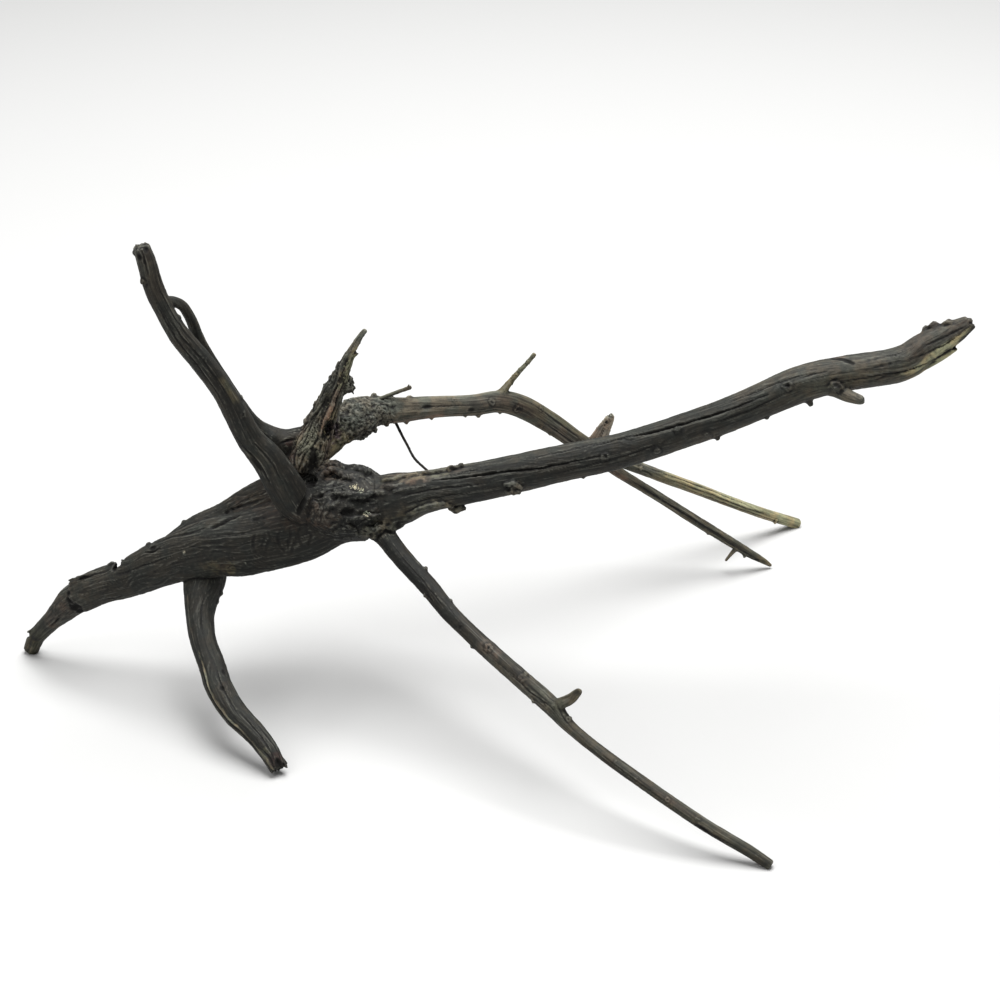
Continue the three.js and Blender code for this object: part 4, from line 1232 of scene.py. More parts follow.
@dataclass
class FrontHorn(Limb):
    """The taller of two horns that rise to the upper left."""

    name: str = "front_horn"
    slot: Slot = Slot.GREY
    tone: Colour = ASH(24.9)
    relief: Relief = Relief(flutes=0.25, ridges=0.06, fibres=0.08, gnarls=0.12, plates=0.15, checks=2)
    strands: tuple[Strand, ...] = (
        Strand([
            (-118, -10, 137, 9), (-126, -14, 152, 13, 12), (-139, -19, 181, 11.4, 11), (-151, -22, 200, 9.4),
            (-161, -25, 224, 8.2), (-169, -27, 242, 7.4), (-180, -29, 261, 7.5), (-192, -31, 279, 7.3),
            (-201, -32, 298, 6.5, 6.6), (-207, -33, 315, 6.6, 6.4), (-210, -34, 333, 6.1, 6),
            (-213, -35, 346, 5.3, 5.2)], 1.3, 0.04, 2.5, Tear(2.4, 2)),
    )
    fades: tuple[Fade, ...] = (
        ((0, ASH(22.1)), (4, ASH(24.9)), (7, ASH(26.9)), (9, GREY(36.7)), (10.2, GREY(64)), (11, GREY(68))),)
    nubs: Nubs = each(Nub,
        (9.4, -40, 1.6, 2, 1.2), (4.3, 180, 1.4, 2.6, 1.4), (3.2, 95, 2.2, 2.4, 1.2), (10.6, 10, 1.4, 2.2, 1.2),
        (7.6, 178, 0.8, 1.6, 1))
    hollows: Hollows = each(Hollow, (10.5, -62, 1.2, 1.3), (2.4, -40, 1.4, 3.4), (10.85, -125, 1.4, 1.2))
    knots: Knots = each(Knot, (9.41, -50, 2.4, 0.7), (6.1, -110, 2.2, 0.4), (3.9, -120, 2.8, 0.4))
    cracks: Cracks = each(Crack,
        (((3.8, -60), (5.6, -64), (7.4, -72), (9, -80)), 0.9, 0.8), (((4.4, -100), (6, -104), (8, -100)), 0.9, 0.7),
        (((1.6, -50), (2.4, -50), (3.4, -44)), 1.3, 1.5), (((6.2, -130), (8, -134), (9.6, -126)), 0.9, 0.7),
        (((1.4, -90), (2.4, -96), (3.6, -98)), 0.9, 0.6), (((9.6, -90), (10.3, -92), (11, -96)), 1, 1),
        (((9.2, -30), (10, -24), (10.8, -26)), 0.9, 0.8))
    patches: Patches = each(Patch,
        (10, 11, -110, 42, ROSE(28.3), 0.8), (4.2, 5.5, -123, 22, STRAW(91), 0.75), (2, 3, -46, 26, STRAW(41.7), 0.7),
        (3.4, 7, -40, 26, ASH(51.4), 0.6), (6.2, 9.2, -60, 26, ASH(53.6), 0.6), (1, 3.6, -84, 26, ASH(41.6), 0.6),
        # The first patch on the next line is painted shadow on the right side of the horn's base, beside the dark
        # crevice at the crown.
        (1.2, 2.6, -120, 24, GREY(17.7), 0.7), (8.2, 9.4, -120, 34, GREY(50.3), 0.6))


@dataclass
class RearHorn(Limb):
    """The thinner horn behind, whose tip hooks towards the front horn."""

    name: str = "rear_horn"
    slot: Slot = Slot.GREY
    tone: Colour = ASH(25.9)
    relief: Relief = Relief(flutes=0.25, ridges=0.06, fibres=0.08, gnarls=0.12, plates=0.15, checks=2)
    strands: tuple[Strand, ...] = (
        Strand([
            (-127, 26, 159, 13.5, 13), (-139, 21, 175, 10.6), (-153, 16, 191, 6.8), (-163, 10, 211, 5.7),
            (-172, 4, 232, 5.2), (-179, -3, 251, 4.9), (-184, -9, 268, 4.3), (-187, -14, 284, 3.8),
            (-191, -19, 296, 3.6), (-196, -25, 302, 3.6), (-201, -31, 305, 3.4)], 2.6, 0.04, 2.5),
        Strand([(-143, 17, 183, 5), (-133, 20, 179, 7), (-118, 20, 181, 7.6, 7)], 0.9, 0.05, 4),
    )
    fades: tuple[Fade, ...] = (
        ((0, ASH(21.7)), (2.4, ASH(24.1)), (5, ASH(30.1)), (7, ASH(39.6)), (10, ASH(34.9))),
        ((0, ASH(24.1)), (2, ASH(20.7))))
    nubs: Nubs = each(Nub, (2.4, 100, 2.2, 2.4, 1.2, 0.3))
    cracks: Cracks = each(Crack,
        (((2.6, -120), (4.4, -124), (6.2, -130)), 0.8, 0.6), (((4.8, -100), (6.4, -104), (8, -100)), 0.8, 0.6),
        (((0.4, -110), (1, -100), (1.7, -90)), 1.4, 1.6, None, 1))
    patches: Patches = each(Patch, (3, 5.4, -40, 34, ASH(58.6), 0.6), (5.6, 8.4, -150, 34, ASH(65.3), 0.6))
    blots: Blots = each(Blot,
        # Both blots on the next line paint a dark reddish crack between the horn's base and the stump: a reddish tint
        # with painted shade, as no crack is cut there.
        ((-129, 12, 181), 3.4, BRICK(23.2), 0.8), ((-129, 8, 172), 4.5, BRICK(13.2), 0.8))


@dataclass
class SplinteredStump(Limb):
    """The jagged, pointed stump that stands on the crown, with a side knob."""

    name: str = "splintered_stump"
    slot: Slot = Slot.BARK
    tone: Colour = GREY(41.8)
    relief: Relief = Relief(flutes=0.9, ridges=0.6, fibres=0.2, gnarls=0.5, pores=0.2, plates=1.3, checks=9)
    strands: tuple[Strand, ...] = (
        Strand([
            (-118, 12, 160, 14, 11.5), (-114, 15, 175, 11.8, 10), (-108, 18, 192, 9.2, 8), (-101, 20, 208, 7.8, 6.4),
            (-94.5, 22, 223, 6.4, 5), (-89, 23, 236, 4.4, 3.8), (-83.5, 24.4, 247, 2.8, 2.5), (-78.5, 25, 255, 2, 1.9),
            (-74.5, 26, 260, 1.6, 1.4)], 0.2, 0.07, 3),
        Strand([(-99, 24, 213, 5), (-91, 24, 218, 5), (-84, 22, 221, 5.2, 4.6)], 1.9, 0.08, 1.8, Tear(2.5, 2)),
    )
    fades: tuple[Fade, ...] = (
        ((0, ROSE(44.4)), (1.2, ROSE(65.3)), (2.6, GREY(61.3)), (5, GREY(59.6)), (6, ASH(103)), (8, ASH(148))),
        ((0, GREY(39.9)), (2, GREY(49.8))))
    nubs: Nubs = each(Nub,
        (1.9, 0, 1.6, 2.8, 1, 0.6), (2.7, -6, 2, 2.4, 0.5, 1.1), (3.6, -10, 2.2, 2.4, 0.5, 0.9),
        (4.05, -6, 1.6, 1.5, 0.4, 1), (4.9, -4, 1.8, 2, 0.4, 1.3), (5.7, 176, 3, 1.8, 0.4, 0.9),
        (3.6, 92, 2.6, 2.4, 0.8, 0.8), (2.3, -30, 1.2, 2.2, 0.5, 1.2), (5.4, -60, 1, 1.4, 0.4, 1.4),
        (1.7, 0, 1.4, 1.8, 0.8, 0, 1), (1.7, 170, 2.6, 1.6, 0.6, 0.4, 1), (1, -60, 1.2, 1.8, 0.9, 0, 1))
    hollows: Hollows = each(Hollow,
        (3, -80, 1.3, 3), (4.6, 60, 1.6, 2.6), (4.35, -112, 1, 3.4), (5.1, -96, 0.7, 3), (0.7, -80, 1.3, 1, 1))
    cuts: Bars = each(Bar,
        *((((-98.6 - 0.09 * y, y, 203.3 - 0.49 * y), (-100.9 - 0.09 * y, y, 197.2 - 0.49 * y),
         (-103.5 - 0.09 * y, y, 191.2 - 0.49 * y)), 2.8) for y in (5, 10, 15, 20)))
    cracks: Cracks = each(Crack,
        (((1.5, -132), (2.6, -140), (3.8, -140), (5, -142)), 1.5, 1.8),
        (((1.8, -100), (3, -98), (4.4, -100), (5.6, -106)), 1.4, 1.8), (((1, -60), (2.2, -58), (3.4, -64)), 1.2, 1.4),
        (((5.4, -70), (6.4, -80), (7.6, -84)), 0.9, 0.9), (((5.2, -120), (6.4, -110), (7.6, -104)), 0.9, 0.9),
        (((1.6, -128), (2.5, -134), (3.7, -126), (4.6, -126), (5.6, -128)), 2, -0.8))
    patches: Patches = each(Patch,
        (1.3, 6.4, -122, 30, RUST(182), 0.9), (3.6, 6.6, -145, 40, STRAW(207), 0.85), (0, 2, -100, 60, DUN(120), 0.7),
        (1.4, 3, -146, 18, STRAW(141), 0.8), (2, 3.6, -70, 30, STRAW(46.1), 0.6), (2.8, 5, -20, 36, ASH(35.7), 0.6))
    blots: Blots = each(Blot,
        ((-102, 26, 185), 10, PLUM(19.8), 0.95),
        *((place, 5.5, DUN(133), 0.75) for place in ((-121, 10, 181), (-117, 8, 186), (-113, 9, 191), (-115, 6, 180))),
        *((place, 3.2, STRAW(240), 0.8) for place in ((-84, 21, 241), (-87, 19, 236), (-90, 18, 229), (-93, 15, 222))))


@dataclass
class BackBranch(Limb):
    """The rough branch that runs back and to the right, with two twigs, a rootlet and a pale splinter."""

    name: str = "back_branch"
    slot: Slot = Slot.BARK
    tone: Colour = GREY(58.8)
    relief: Relief = Relief(flutes=0.3, ridges=0.12, fibres=0.08, gnarls=0.85, pores=0.4, plates=0.4, checks=2)
    rough: tuple[float, float] = (1.2, 4.7)
    strands: tuple[Strand, ...] = (
        Strand([
            (-109, 16, 168, 5.8), (-102, 24, 171, 6), (-94, 34, 177, 8.6), (-85, 44, 183, 15.2, 12.6),
            (-72, 54, 184, 11, 10), (-54, 62, 182, 8.8), (-37, 70, 180, 7.8, 7.6), (-19, 79, 177, 7.5),
            (-1, 88, 174, 7.9, 7.8), (17, 97, 172, 8.3, 8.2), (34, 105, 164, 8.6, 8.2), (54, 114, 147, 7.8),
            (73, 122, 129, 7), (86, 127, 118, 6.4)], 1.1, 0.07, 3),
        Strand([
            (16, 97, 174, 4), (21, 99, 182, 2.7, 2.6), (30, 103, 192, 1.9), (37, 106, 199, 1.6),
            (43, 108, 206, 1.6)], 1.7, 0.04, 2.5, Tear(1, 0.9)),
        Strand([
            (88, 126, 120, 7.5, 3), (94, 126, 133, 5.6, 2.4), (98, 126, 142, 4, 1.8),
            (100.5, 126, 149, 2.8, 1.3)], 2.2, 0.05, 1.2, Tear(4, 1.6, 0, 0.7)),
    )
    fades: tuple[Fade, ...] = (
        ((0, STRAW(71.5)), (1.6, STRAW(82)), (2.4, ASH(66.1)), (4.3, ASH(66.1)), (5, GREY(93.9)), (9, GREY(86.8)),
         (10, DUN(72.8)), (13, GREY(52.1))), ((0, GREY(42.1)), (1.4, STRAW(116)), (4, DUN(135))),
        ((0, RUST(112)), (1, ROSE(179)), (3, GREY(245))))
    twigs: tuple[Twig, ...] = (
        Twig(Strand([
            (-84, 48, 188, 2.6), (-76, 52, 192, 1.9), (-68, 55, 194, 1.6), (-57, 59, 197, 1.4),
            (-50, 61.5, 198.6, 1.4), (-47, 62.5, 199.4, 1.6, 1.5), (-46, 63, 199.7, 1.1)], 0.3, 0.06), DUN(78.6)),
        Twig(Strand([(-49, 61.5, 198.6, 1), (-48, 62, 200.6, 0.7), (-47.5, 62, 202, 0.3)], 0.5, 0.06), DUN(78.6)),
        Twig(Strand([
            (-62, 61, 183, 1.3), (-54, 56, 167, 1), (-49, 51, 159, 1), (-44, 45, 152, 0.95), (-36, 38, 147, 0.95),
            (-30, 31, 145, 0.9)], 0.8, 0.06), GREY(20.2)),
    )
    rolls: Bars = each(Bar, (((-99, 37, 190), (-102, 33, 182), (-104, 29, 176)), 7, 2.5))
    nubs: Nubs = each(Nub,
        (3.1, 30, 2, 4, 2, 0.2), (3.7, 175, 2.2, 3, 1.2, 0.4), (2.7, 150, 2.6, 3, 1.4), (5.2, 182, 2, 2, 1),
        (8.1, 178, 2, 2.2, 1.2), (3.3, 95, 3, 4, 2), (6.26, 178, 1.5, 1.3, 0.7), (7.55, -172, 1.4, 1.3, 0.7),
        (8.98, -172, 1.4, 1.4, 0.8), (3.5, -160, 2, 2.4, 1, 0.6), (4.1, -4, 2, 2.8, 1.6), (4.7, 4, 1.6, 2, 1.2),
        (5.4, 2, 1.2, 2.6, 1.6), (2.5, -130, 1.4, 2.2, 1), (10.72, -150, 1.2, 1.6, 0.8), (11.15, -160, 1.2, 1.4, 0.7),
        (4.4, -165, 1.8, 1.7, 0.7, 0.4))
    hollows: Hollows = each(Hollow,
        (3.2, -100, 1.2, 1.3), (2.7, -60, 1.2, 1.2), (5.95, -90, 0.9, 2.4), (7.67, -123, 0.8, 1.8), (3.7, -70, 1, 1.2),
        (3.4, -140, 1, 1.2), (9.65, -112, 1, 1.4))
    knots: Knots = each(Knot,
        (8.5, -93, 2.4, 0.8), (9.59, -115, 2.8, 0.9), (10.4, -60, 2, 0.5), (12, -100, 2, 0.5), (7, -60, 1.8, 0.3))
    cracks: Cracks = each(Crack,
        (((5, -96), (6.4, -92), (7.8, -96)), 0.8, 0.5), (((6.6, -140), (8, -144), (9.4, -150)), 0.8, 0.5),
        (((9.9, -60), (11, -70), (12.4, -78)), 0.9, 0.7), (((10.2, -110), (11.4, -118), (12.6, -120)), 0.9, 0.7),
        (((0.2, -100), (0.9, -96), (1.6, -90)), 0.9, 0.9, None, 2))
    patches: Patches = each(Patch,
        (4.6, 10.2, -10, 34, DUN(109), 0.65), (4.2, 7.2, -160, 26, RUST(132), 0.7),
        (7.2, 9.6, -85, 34, ROSE(54.3), 0.6), (9.2, 10.4, -112, 34, ROSE(36.6), 0.7),
        (9.8, 12.6, -30, 34, STRAW(86.3), 0.6), (10.4, 12.8, -120, 34, ROSE(51.5), 0.6),
        (0.2, 2, -110, 60, STRAW(117), 0.6))


@dataclass
class BackLeg(Limb):
    """The pale thin leg from the back branch's fork down to a blunt end."""

    name: str = "back_leg"
    slot: Slot = Slot.PALE
    tone: Colour = STRAW(135)
    relief: Relief = Relief(flutes=0.25, ridges=0.2, fibres=0.1, gnarls=0.06, plates=0.25, checks=3)
    strands: tuple[Strand, ...] = (
        Strand([
            (82, 126, 120, 6), (108, 138, 103, 5.2), (132, 152, 86, 4.7), (174, 177, 57, 4.5), (218, 201, 27, 4.4),
            (260, 223, 1.5, 4.3)], 0.6, 0.05, 2),
    )
    fades: tuple[Fade, ...] = (
        ((0, DUN(50.2)), (1.9, GREY(46.9)), (2.5, STRAW(105)), (3.2, STRAW(149)), (5, STRAW(159))),)
    nubs: Nubs = each(Nub, (4.5, -150, 1.8, 1.8, 1), (1.62, -87, 0.8, 2, 1.2))
    knots: Knots = each(Knot, (1.62, -87, 2.2, 0.5), (4.5, -128, 1.8, 0.5))
    cracks: Cracks = each(Crack,
        (((2.2, -100), (3.2, -96), (4.6, -100)), 1, 0.9), (((2.6, -130), (3.6, -134), (4.8, -128)), 0.9, 0.8),
        (((1.6, -60), (2.8, -56), (4, -60)), 0.9, 0.8))
    patches: Patches = each(Patch,
        (1.6, 4.8, -100, 14, STRAW(62.3), 0.8), (2.2, 4.9, -150, 22, ROSE(63.5), 0.7), (2.4, 5, -20, 26, DUN(85), 0.6),
        (3, 4.2, -75, 20, STRAW(241), 0.6))


@dataclass
class BackSpear(Limb):
    """The darker thin leg from the same fork down to a pointed end."""

    name: str = "back_spear"
    slot: Slot = Slot.GREY
    tone: Colour = DUN(69)
    relief: Relief = Relief(flutes=0.3, ridges=0.2, fibres=0.1, gnarls=0.08, plates=0.3, checks=3)
    strands: tuple[Strand, ...] = (
        Strand([
            (83, 124, 120, 5.3), (102, 129, 101, 4.3), (132, 136, 77, 3.9), (172, 143, 46, 4), (209, 149, 18, 3.6),
            (223, 152, 8, 2.7), (231, 153, 2, 1.2)], 1.5, 0.05, 1.2),
        Strand([(202, 148, 21, 2), (198, 149, 15, 1.5), (194, 150, 8, 1)], 0.4, 0.04, 1.2),
    )
    fades: tuple[Fade, ...] = (
        ((0, ROSE(50)), (1.2, DUN(60)), (3.6, DUN(75)), (4.4, DUN(92)), (5.2, STRAW(170)), (6, DUN(180))),
        ((0, DUN(120)), (2, DUN(214))))
    nubs: Nubs = each(Nub, (4.05, -165, 2.2, 1.8, 0.9, 0.4), (3.2, -170, 0.8, 1.2, 0.7))
    hollows: Hollows = each(Hollow, (4.6, -140, 0.9, 2))
    cracks: Cracks = each(Crack,
        (((1.4, -96), (2.4, -100), (3.8, -96)), 1.3, 1.2), (((2.8, -120), (3.8, -116), (4.8, -110)), 1, 0.9))
    patches: Patches = each(Patch,
        (1.1, 4.2, -135, 16, DUN(140), 0.75), (1.6, 4.6, -60, 16, DUN(128), 0.7), (1.4, 4.4, -98, 14, DUN(19.3), 0.8),
        (0.9, 1.5, -120, 40, RUST(130), 0.7))


# The merged wood

# The finishes read these: how evenly the grain runs, painted shade in hollows with the knots' own dark eyes, convexity
# for rubbed ridges with a painted highlight and painted shade in low places, bark, torn ends and lichen.
VALUES = ("flow", "hollow", "wear", "bark", "torn", "lichen")
# How far past the limbs' middle lines the volume reaches.
VOLUME_MARGIN = 40
# How softly one limb's relief and colours run into the next one's, and the least share that counts.
LIMB_SOFTNESS = 1.3
LEAST_SHARE = 0.03
# A crack and a groove of these depths get the full painted shade.
CRACK_FULL_SHADE = 1.2
GROOVE_FULL_SHADE = 1.5
KNOT_DARKNESS = 0.8
# How strongly shade is painted into pits and cuts.
PIT_PAINTED_SHADE = 0.92
# Rounds of smoothing that the fine and the broad bulges are measured against, and that even them out.
BULGE_ROUNDS = (4, 16)
EVEN_ROUNDS = 14
# How much the fine and the broad bulges count in rubbed ridges with a painted highlight, and in painted shade.
WEAR_AND_LIGHT_SHARES = (1.6, 0.6)
PAINTED_SHADE_SHARES = (2.0, 0.8)
PAINTED_SHADE_START = 0.15
# The least value that small pieces are strewn over.
CARRIED_FROM = 0.05


@dataclass
class Skin:
    """The merged wood's skin: its points and triangles, and what the finishes and the strewn pieces read there."""

    points: Array
    triangles: Array
    limb: Array
    tone: Array
    grain: Array
    forward: Array
    flow: Array
    # Painted shade in hollows, with the knots' own dark eyes, then convexity: rubbed ridges with a painted highlight,
    # low places with painted shade.
    hollow: Array
    wear: Array
    bark: Array
    torn: Array
    lichen: Array


@dataclass
class GrownWood:
    """The crown and the limbs, grown together."""

    crown: Crown
    limbs: list[Limb]
    voxel: float = VOXEL

    def __post_init__(self) -> None:
        """Lists the forms of all limbs."""
        self.strands = [(number, index, strand) for number, limb in enumerate(self.limbs)
                        for index, strand in enumerate(limb.strands)]
        self.cones = [(self._strand_number(number, nub.strand), cone) for number, limb in enumerate(self.limbs)
                      for nub, cone in zip(limb.nubs, limb.cones())]
        self.pits = self.crown.pits() + [pit for limb in self.limbs for pit in limb.pits()]
        self.rolls = [Rod(bar) for growth in self.growths for bar in growth.rolls]
        self.cuts = [Rod(bar) for growth in self.growths for bar in growth.cuts]

    @property
    def growths(self) -> list[Growth]:
        """The limbs and the crown, in the order of their numbers."""
        return [*self.limbs, self.crown]

    def _strand_number(self, limb: int, index: int) -> int:
        """Where a limb's strand is in the list of all strands."""
        return next(at for at, (owner, own, _) in enumerate(self.strands) if (owner, own) == (limb, index))

    def volume(self) -> openvdb.FloatGrid:
        """Fills a grid with the distance to the merged wood's skin, block by block."""
        size = BLOCK * self.voxel
        samples = np.concatenate([strand.centres for _, _, strand in self.strands])
        low = np.floor((samples.min(0) - VOLUME_MARGIN) / size).astype(int)
        high = np.ceil((samples.max(0) + VOLUME_MARGIN) / size).astype(int)
        blocks = list(itertools.product(*map(range, low, high)))
        grid = openvdb.FloatGrid(BAND)
        with ThreadPoolExecutor(WORKERS) as pool:
            for block, values in zip(blocks, pool.map(self._block, blocks)):
                if values is not None:
                    grid.copyFromArray(values, ijk=tuple(BLOCK * at for at in block))
        grid.transform = openvdb.createLinearTransform(voxelSize=self.voxel)
        return grid

    def _block(self, block: tuple[int, int, int]) -> Array | None:
        """The distances in one block, or nothing where no wood is near."""
        size = BLOCK * self.voxel
        corner = np.array(block) * size
        middle = corner + size / 2
        around = size * math.sqrt(3) / 2
        near = [(strand, np.flatnonzero(np.linalg.norm(strand.centres - middle, axis=1) < around + strand.reach))
                for _, _, strand in self.strands]
        near = [(strand, rows) for strand, rows in near if len(rows)]
        crown_near = np.linalg.norm(self.crown.centre - middle) < around + self.crown.reach
        if not near and not crown_near:
            return None
        steps = np.arange(BLOCK, dtype=np.float32) * self.voxel
        grid = np.meshgrid(*(steps + at for at in corner), indexing="ij")
        points = np.stack([axis.ravel() for axis in grid], 1).astype(np.float32)
        total = self.crown.distance(points) if crown_near else np.full(len(points), FAR, np.float32)
        for strand, rows in near:
            distance = strand.distance(points, int(rows[0]), int(rows[-1]) + 1)
            total = smooth_min(total, distance, strand.blend)
        for form in [*(cone for _, cone in self.cones), *self.rolls]:
            if np.linalg.norm(form.middle - middle) < around + form.reach:
                total = smooth_min(total, form.distance(points), form.blend)
        for form in [*self.pits, *self.cuts]:
            if np.linalg.norm(form.middle - middle) < around + form.reach:
                total = smooth_max(total, -form.distance(points), HOLLOW_ROUNDING)
        total = smooth_max(total, -points[:, 2], GROUND_ROUNDING)
        return np.clip(total, -BAND, BAND).astype(np.float32).reshape((BLOCK,) * 3)

    def skin(self) -> Skin:
        """Makes the skin with its relief, cracks and colours."""
        raw, quads = self.volume().convertToQuads()
        points = raw.astype(np.float32)
        log.info("volume: %d points", len(points))
        triangles = np.concatenate([quads[:, [0, 1, 2]], quads[:, [0, 2, 3]]]).astype(np.int64)
        points, triangles = biggest_shell(points, triangles)
        distances = self.distances(points)
        weights = np.exp((distances.min(0) - distances) / LIMB_SOFTNESS)
        weights[weights < LEAST_SHARE] = 0
        weights /= weights.sum(0)
        normals = mesh_normals(points, triangles)
        owners = np.array([owner for owner, _, _ in self.strands] + [len(self.limbs)])
        limb = owners[distances.argmin(0)]
        skin = Skin(points, triangles, limb, *(np.zeros((len(points), 3), np.float32) for _ in range(3)),
                    *(np.zeros(len(points), np.float32) for _ in VALUES))
        heights = self._dress(skin, weights) - self._grooves(skin)
        self._blots(skin)
        skin.points = points + normals * heights[:, None]
        skin.points[:, 2] = np.maximum(skin.points[:, 2], 0)
        skin.flow = (smooth_step(weights.max(0), 0.5, 0.95) * (1 - 0.5 * weights[-1])).astype(np.float32)
        self._shade(skin)
        return skin

    def distances(self, points: Array) -> Array:
        """How far each point is from every strand, one a row, and from the crown, in the last row."""
        rows = np.full((len(self.strands) + 1, len(points)), FAR, np.float32)
        for at, (_, _, strand) in enumerate(self.strands):
            low, high = strand.centres.min(0) - strand.reach, strand.centres.max(0) + strand.reach
            inside = np.flatnonzero(((points > low) & (points < high)).all(1))
            rows[at, inside] = strand.distance(points[inside])
        for at, cone in self.cones:
            inside = np.flatnonzero(np.linalg.norm(points - cone.middle, axis=1) < cone.reach)
            rows[at, inside] = np.minimum(rows[at, inside], cone.distance(points[inside]))
        rows[-1] = self.crown.distance(points)
        return rows

    def _dress(self, skin: Skin, weights: Array) -> Array:
        """Adds each strand's and the crown's relief, cracks and colours to the skin.

        Args:
            skin: The skin, whose values are filled in.
            weights: Each strand's share of each point, one strand a row, and the crown's in the last row.

        Returns:
            The relief's heights, in millimetres.
        """
        heights = np.zeros(len(skin.points), np.float32)
        lead = weights.argmax(0)
        for at, (owner, index, strand) in enumerate(self.strands):
            limb = self.limbs[owner]
            rows = np.flatnonzero(weights[at] > 0)
            points, share = skin.points[rows], weights[at, rows]
            spot = strand.spot(points)
            tones = limb.tones(index, spot)
            opening = limb.openings(index, spot, tones)
            knots, dark = limb.knot_heights(index, points)
            heights[rows] += share * (limb.heights(index, spot, points) + knots - opening)
            skin.tone[rows] += share[:, None] * tones
            skin.forward[rows] += share[:, None] * spot.forward
            # Cracks are painted with shade; the knots' dark eyes are their own colour.
            skin.hollow[rows] += share * np.maximum(np.clip(opening / CRACK_FULL_SHADE, 0, 1), KNOT_DARKNESS * dark)
            skin.bark[rows] += share * limb.relief.gnarls / ROUGHEST * limb.roughness(spot)
            skin.torn[rows] += share * strand.torn_share(spot)
            mine = lead[rows] == at
            skin.grain[rows[mine]] = limb.grain(index, spot)[mine]
        rows = np.flatnonzero(weights[-1] > 0)
        points, share = skin.points[rows], weights[-1, rows]
        heights[rows] += share * self.crown.heights(points)
        skin.tone[rows] += share[:, None] * np.array(self.crown.tone, np.float32)
        skin.bark[rows] += share * self.crown.relief.gnarls / ROUGHEST
        mine = lead[rows] == len(self.strands)
        skin.grain[rows[mine]] = self.crown.grain(points)[mine]
        return heights

    def _grooves(self, skin: Skin) -> Array:
        """The depth of all grooves, which are painted with shade, less the height of all folds, in millimetres."""
        total = np.zeros(len(skin.points), np.float32)
        for groove in (groove for growth in self.growths for groove in growth.grooves):
            corners = np.array(groove.route, np.float32) + ROUTE_SHIFT
            low, high = corners.min(0) - groove.width - 1, corners.max(0) + groove.width + 1
            rows = np.flatnonzero(((skin.points > low) & (skin.points < high)).all(1))
            depth = groove_depth(skin.points[rows], groove)
            total[rows] += depth
            skin.hollow[rows] = np.maximum(skin.hollow[rows], np.clip(depth / GROOVE_FULL_SHADE, 0, 1))
        return total

    def _blots(self, skin: Skin) -> None:
        """Mixes the blots' colours into the skin, and marks where lichen grows."""
        for growth in self.growths:
            for blot in growth.blots:
                rows, mask = blot_mask(skin.points, blot)
                skin.tone[rows] += (np.array(blot.tone, np.float32) - skin.tone[rows]) * mask[:, None]
            for blot in growth.lichen:
                rows, mask = blot_mask(skin.points, blot)
                skin.lichen[rows] = np.maximum(skin.lichen[rows], mask)

    def _shade(self, skin: Skin) -> None:
        """Finds from the skin's own shape where shade is painted in hollows, and which ridges are rubbed paler with a
        painted highlight.
        """
        edges = mesh_edges(skin.triangles)
        normals = mesh_normals(skin.points, skin.triangles)
        smooth, bulges = skin.points, []
        for rounds in BULGE_ROUNDS:
            for _ in range(rounds):
                smooth = neighbour_mean(smooth, edges)
            bulges.append(np.einsum("ij,ij->i", skin.points - smooth, normals))
        even = np.stack([*bulges, bulges[0]], 1)
        for _ in range(EVEN_ROUNDS):
            even = neighbour_mean(even, edges)
        fine, broad = bulges[0] - even[:, 0], bulges[1] - even[:, 1]
        # Convex places are rubbed paler and get a painted highlight; concave places get painted shade.
        wear = 0.5 + WEAR_AND_LIGHT_SHARES[0] * fine + WEAR_AND_LIGHT_SHARES[1] * broad
        skin.wear = wear.clip(0, 1).astype(np.float32)
        painted_cavity_shade = np.clip(-PAINTED_SHADE_SHARES[0] * fine - PAINTED_SHADE_SHARES[1] * broad - PAINTED_SHADE_START, 0, 1)
        # The insides of pits and cuts are painted with shade.
        for form in [*self.pits, *self.cuts]:
            rows = np.flatnonzero(np.linalg.norm(skin.points - form.middle, axis=1) < form.reach)
            inside = smooth_step(form.distance(skin.points[rows]), 1.3, 0.2)
            painted_cavity_shade[rows] = np.maximum(painted_cavity_shade[rows], PIT_PAINTED_SHADE * inside)
        skin.hollow = np.clip(np.maximum(skin.hollow, painted_cavity_shade), 0, 1).astype(np.float32)


def blot_mask(points: Array, blot: Blot) -> tuple[Array, Array]:
    """Finds a blot on the skin.

    Args:
        points: The skin's points.
        blot: The blot.

    Returns:
        The rows of the points in it, and how much of the blot each of them has.
    """
    away = np.linalg.norm(points - np.array(blot.middle, np.float32) - ROUTE_SHIFT, axis=1)
    rows = np.flatnonzero(away < 2 * blot.radius)
    edge = away[rows] / blot.radius + 0.5 * layered_noise(points[rows] / 3, 2, 61)
    return rows, blot.strength * (1 - smooth_step(edge, 0.5, 1.2))


def mesh_normals(points: Array, triangles: Array) -> Array:
    """The smoothed normal at each point."""
    a, b, c = (points[triangles[:, corner]] for corner in range(3))
    faces = np.cross(b - a, c - a)
    total = np.zeros_like(points)
    for corner, axis in itertools.product(range(3), range(3)):
        total[:, axis] += np.bincount(triangles[:, corner], faces[:, axis], len(points))
    return unit(total)


def mesh_edges(triangles: Array) -> Array:
    """Every edge once, as two point indices a row."""
    pairs = np.concatenate([triangles[:, [0, 1]], triangles[:, [1, 2]], triangles[:, [2, 0]]])
    return pairs[pairs[:, 0] < pairs[:, 1]]


def neighbour_mean(values: Array, edges: Array) -> Array:
    """The mean of each point's neighbours, for values with three columns."""
    count = np.bincount(edges.ravel(), minlength=len(values))
    total = [np.bincount(edges[:, 0], values[edges[:, 1], axis], len(values))
             + np.bincount(edges[:, 1], values[edges[:, 0], axis], len(values)) for axis in range(3)]
    return (np.stack(total, 1) / count[:, None]).astype(np.float32)


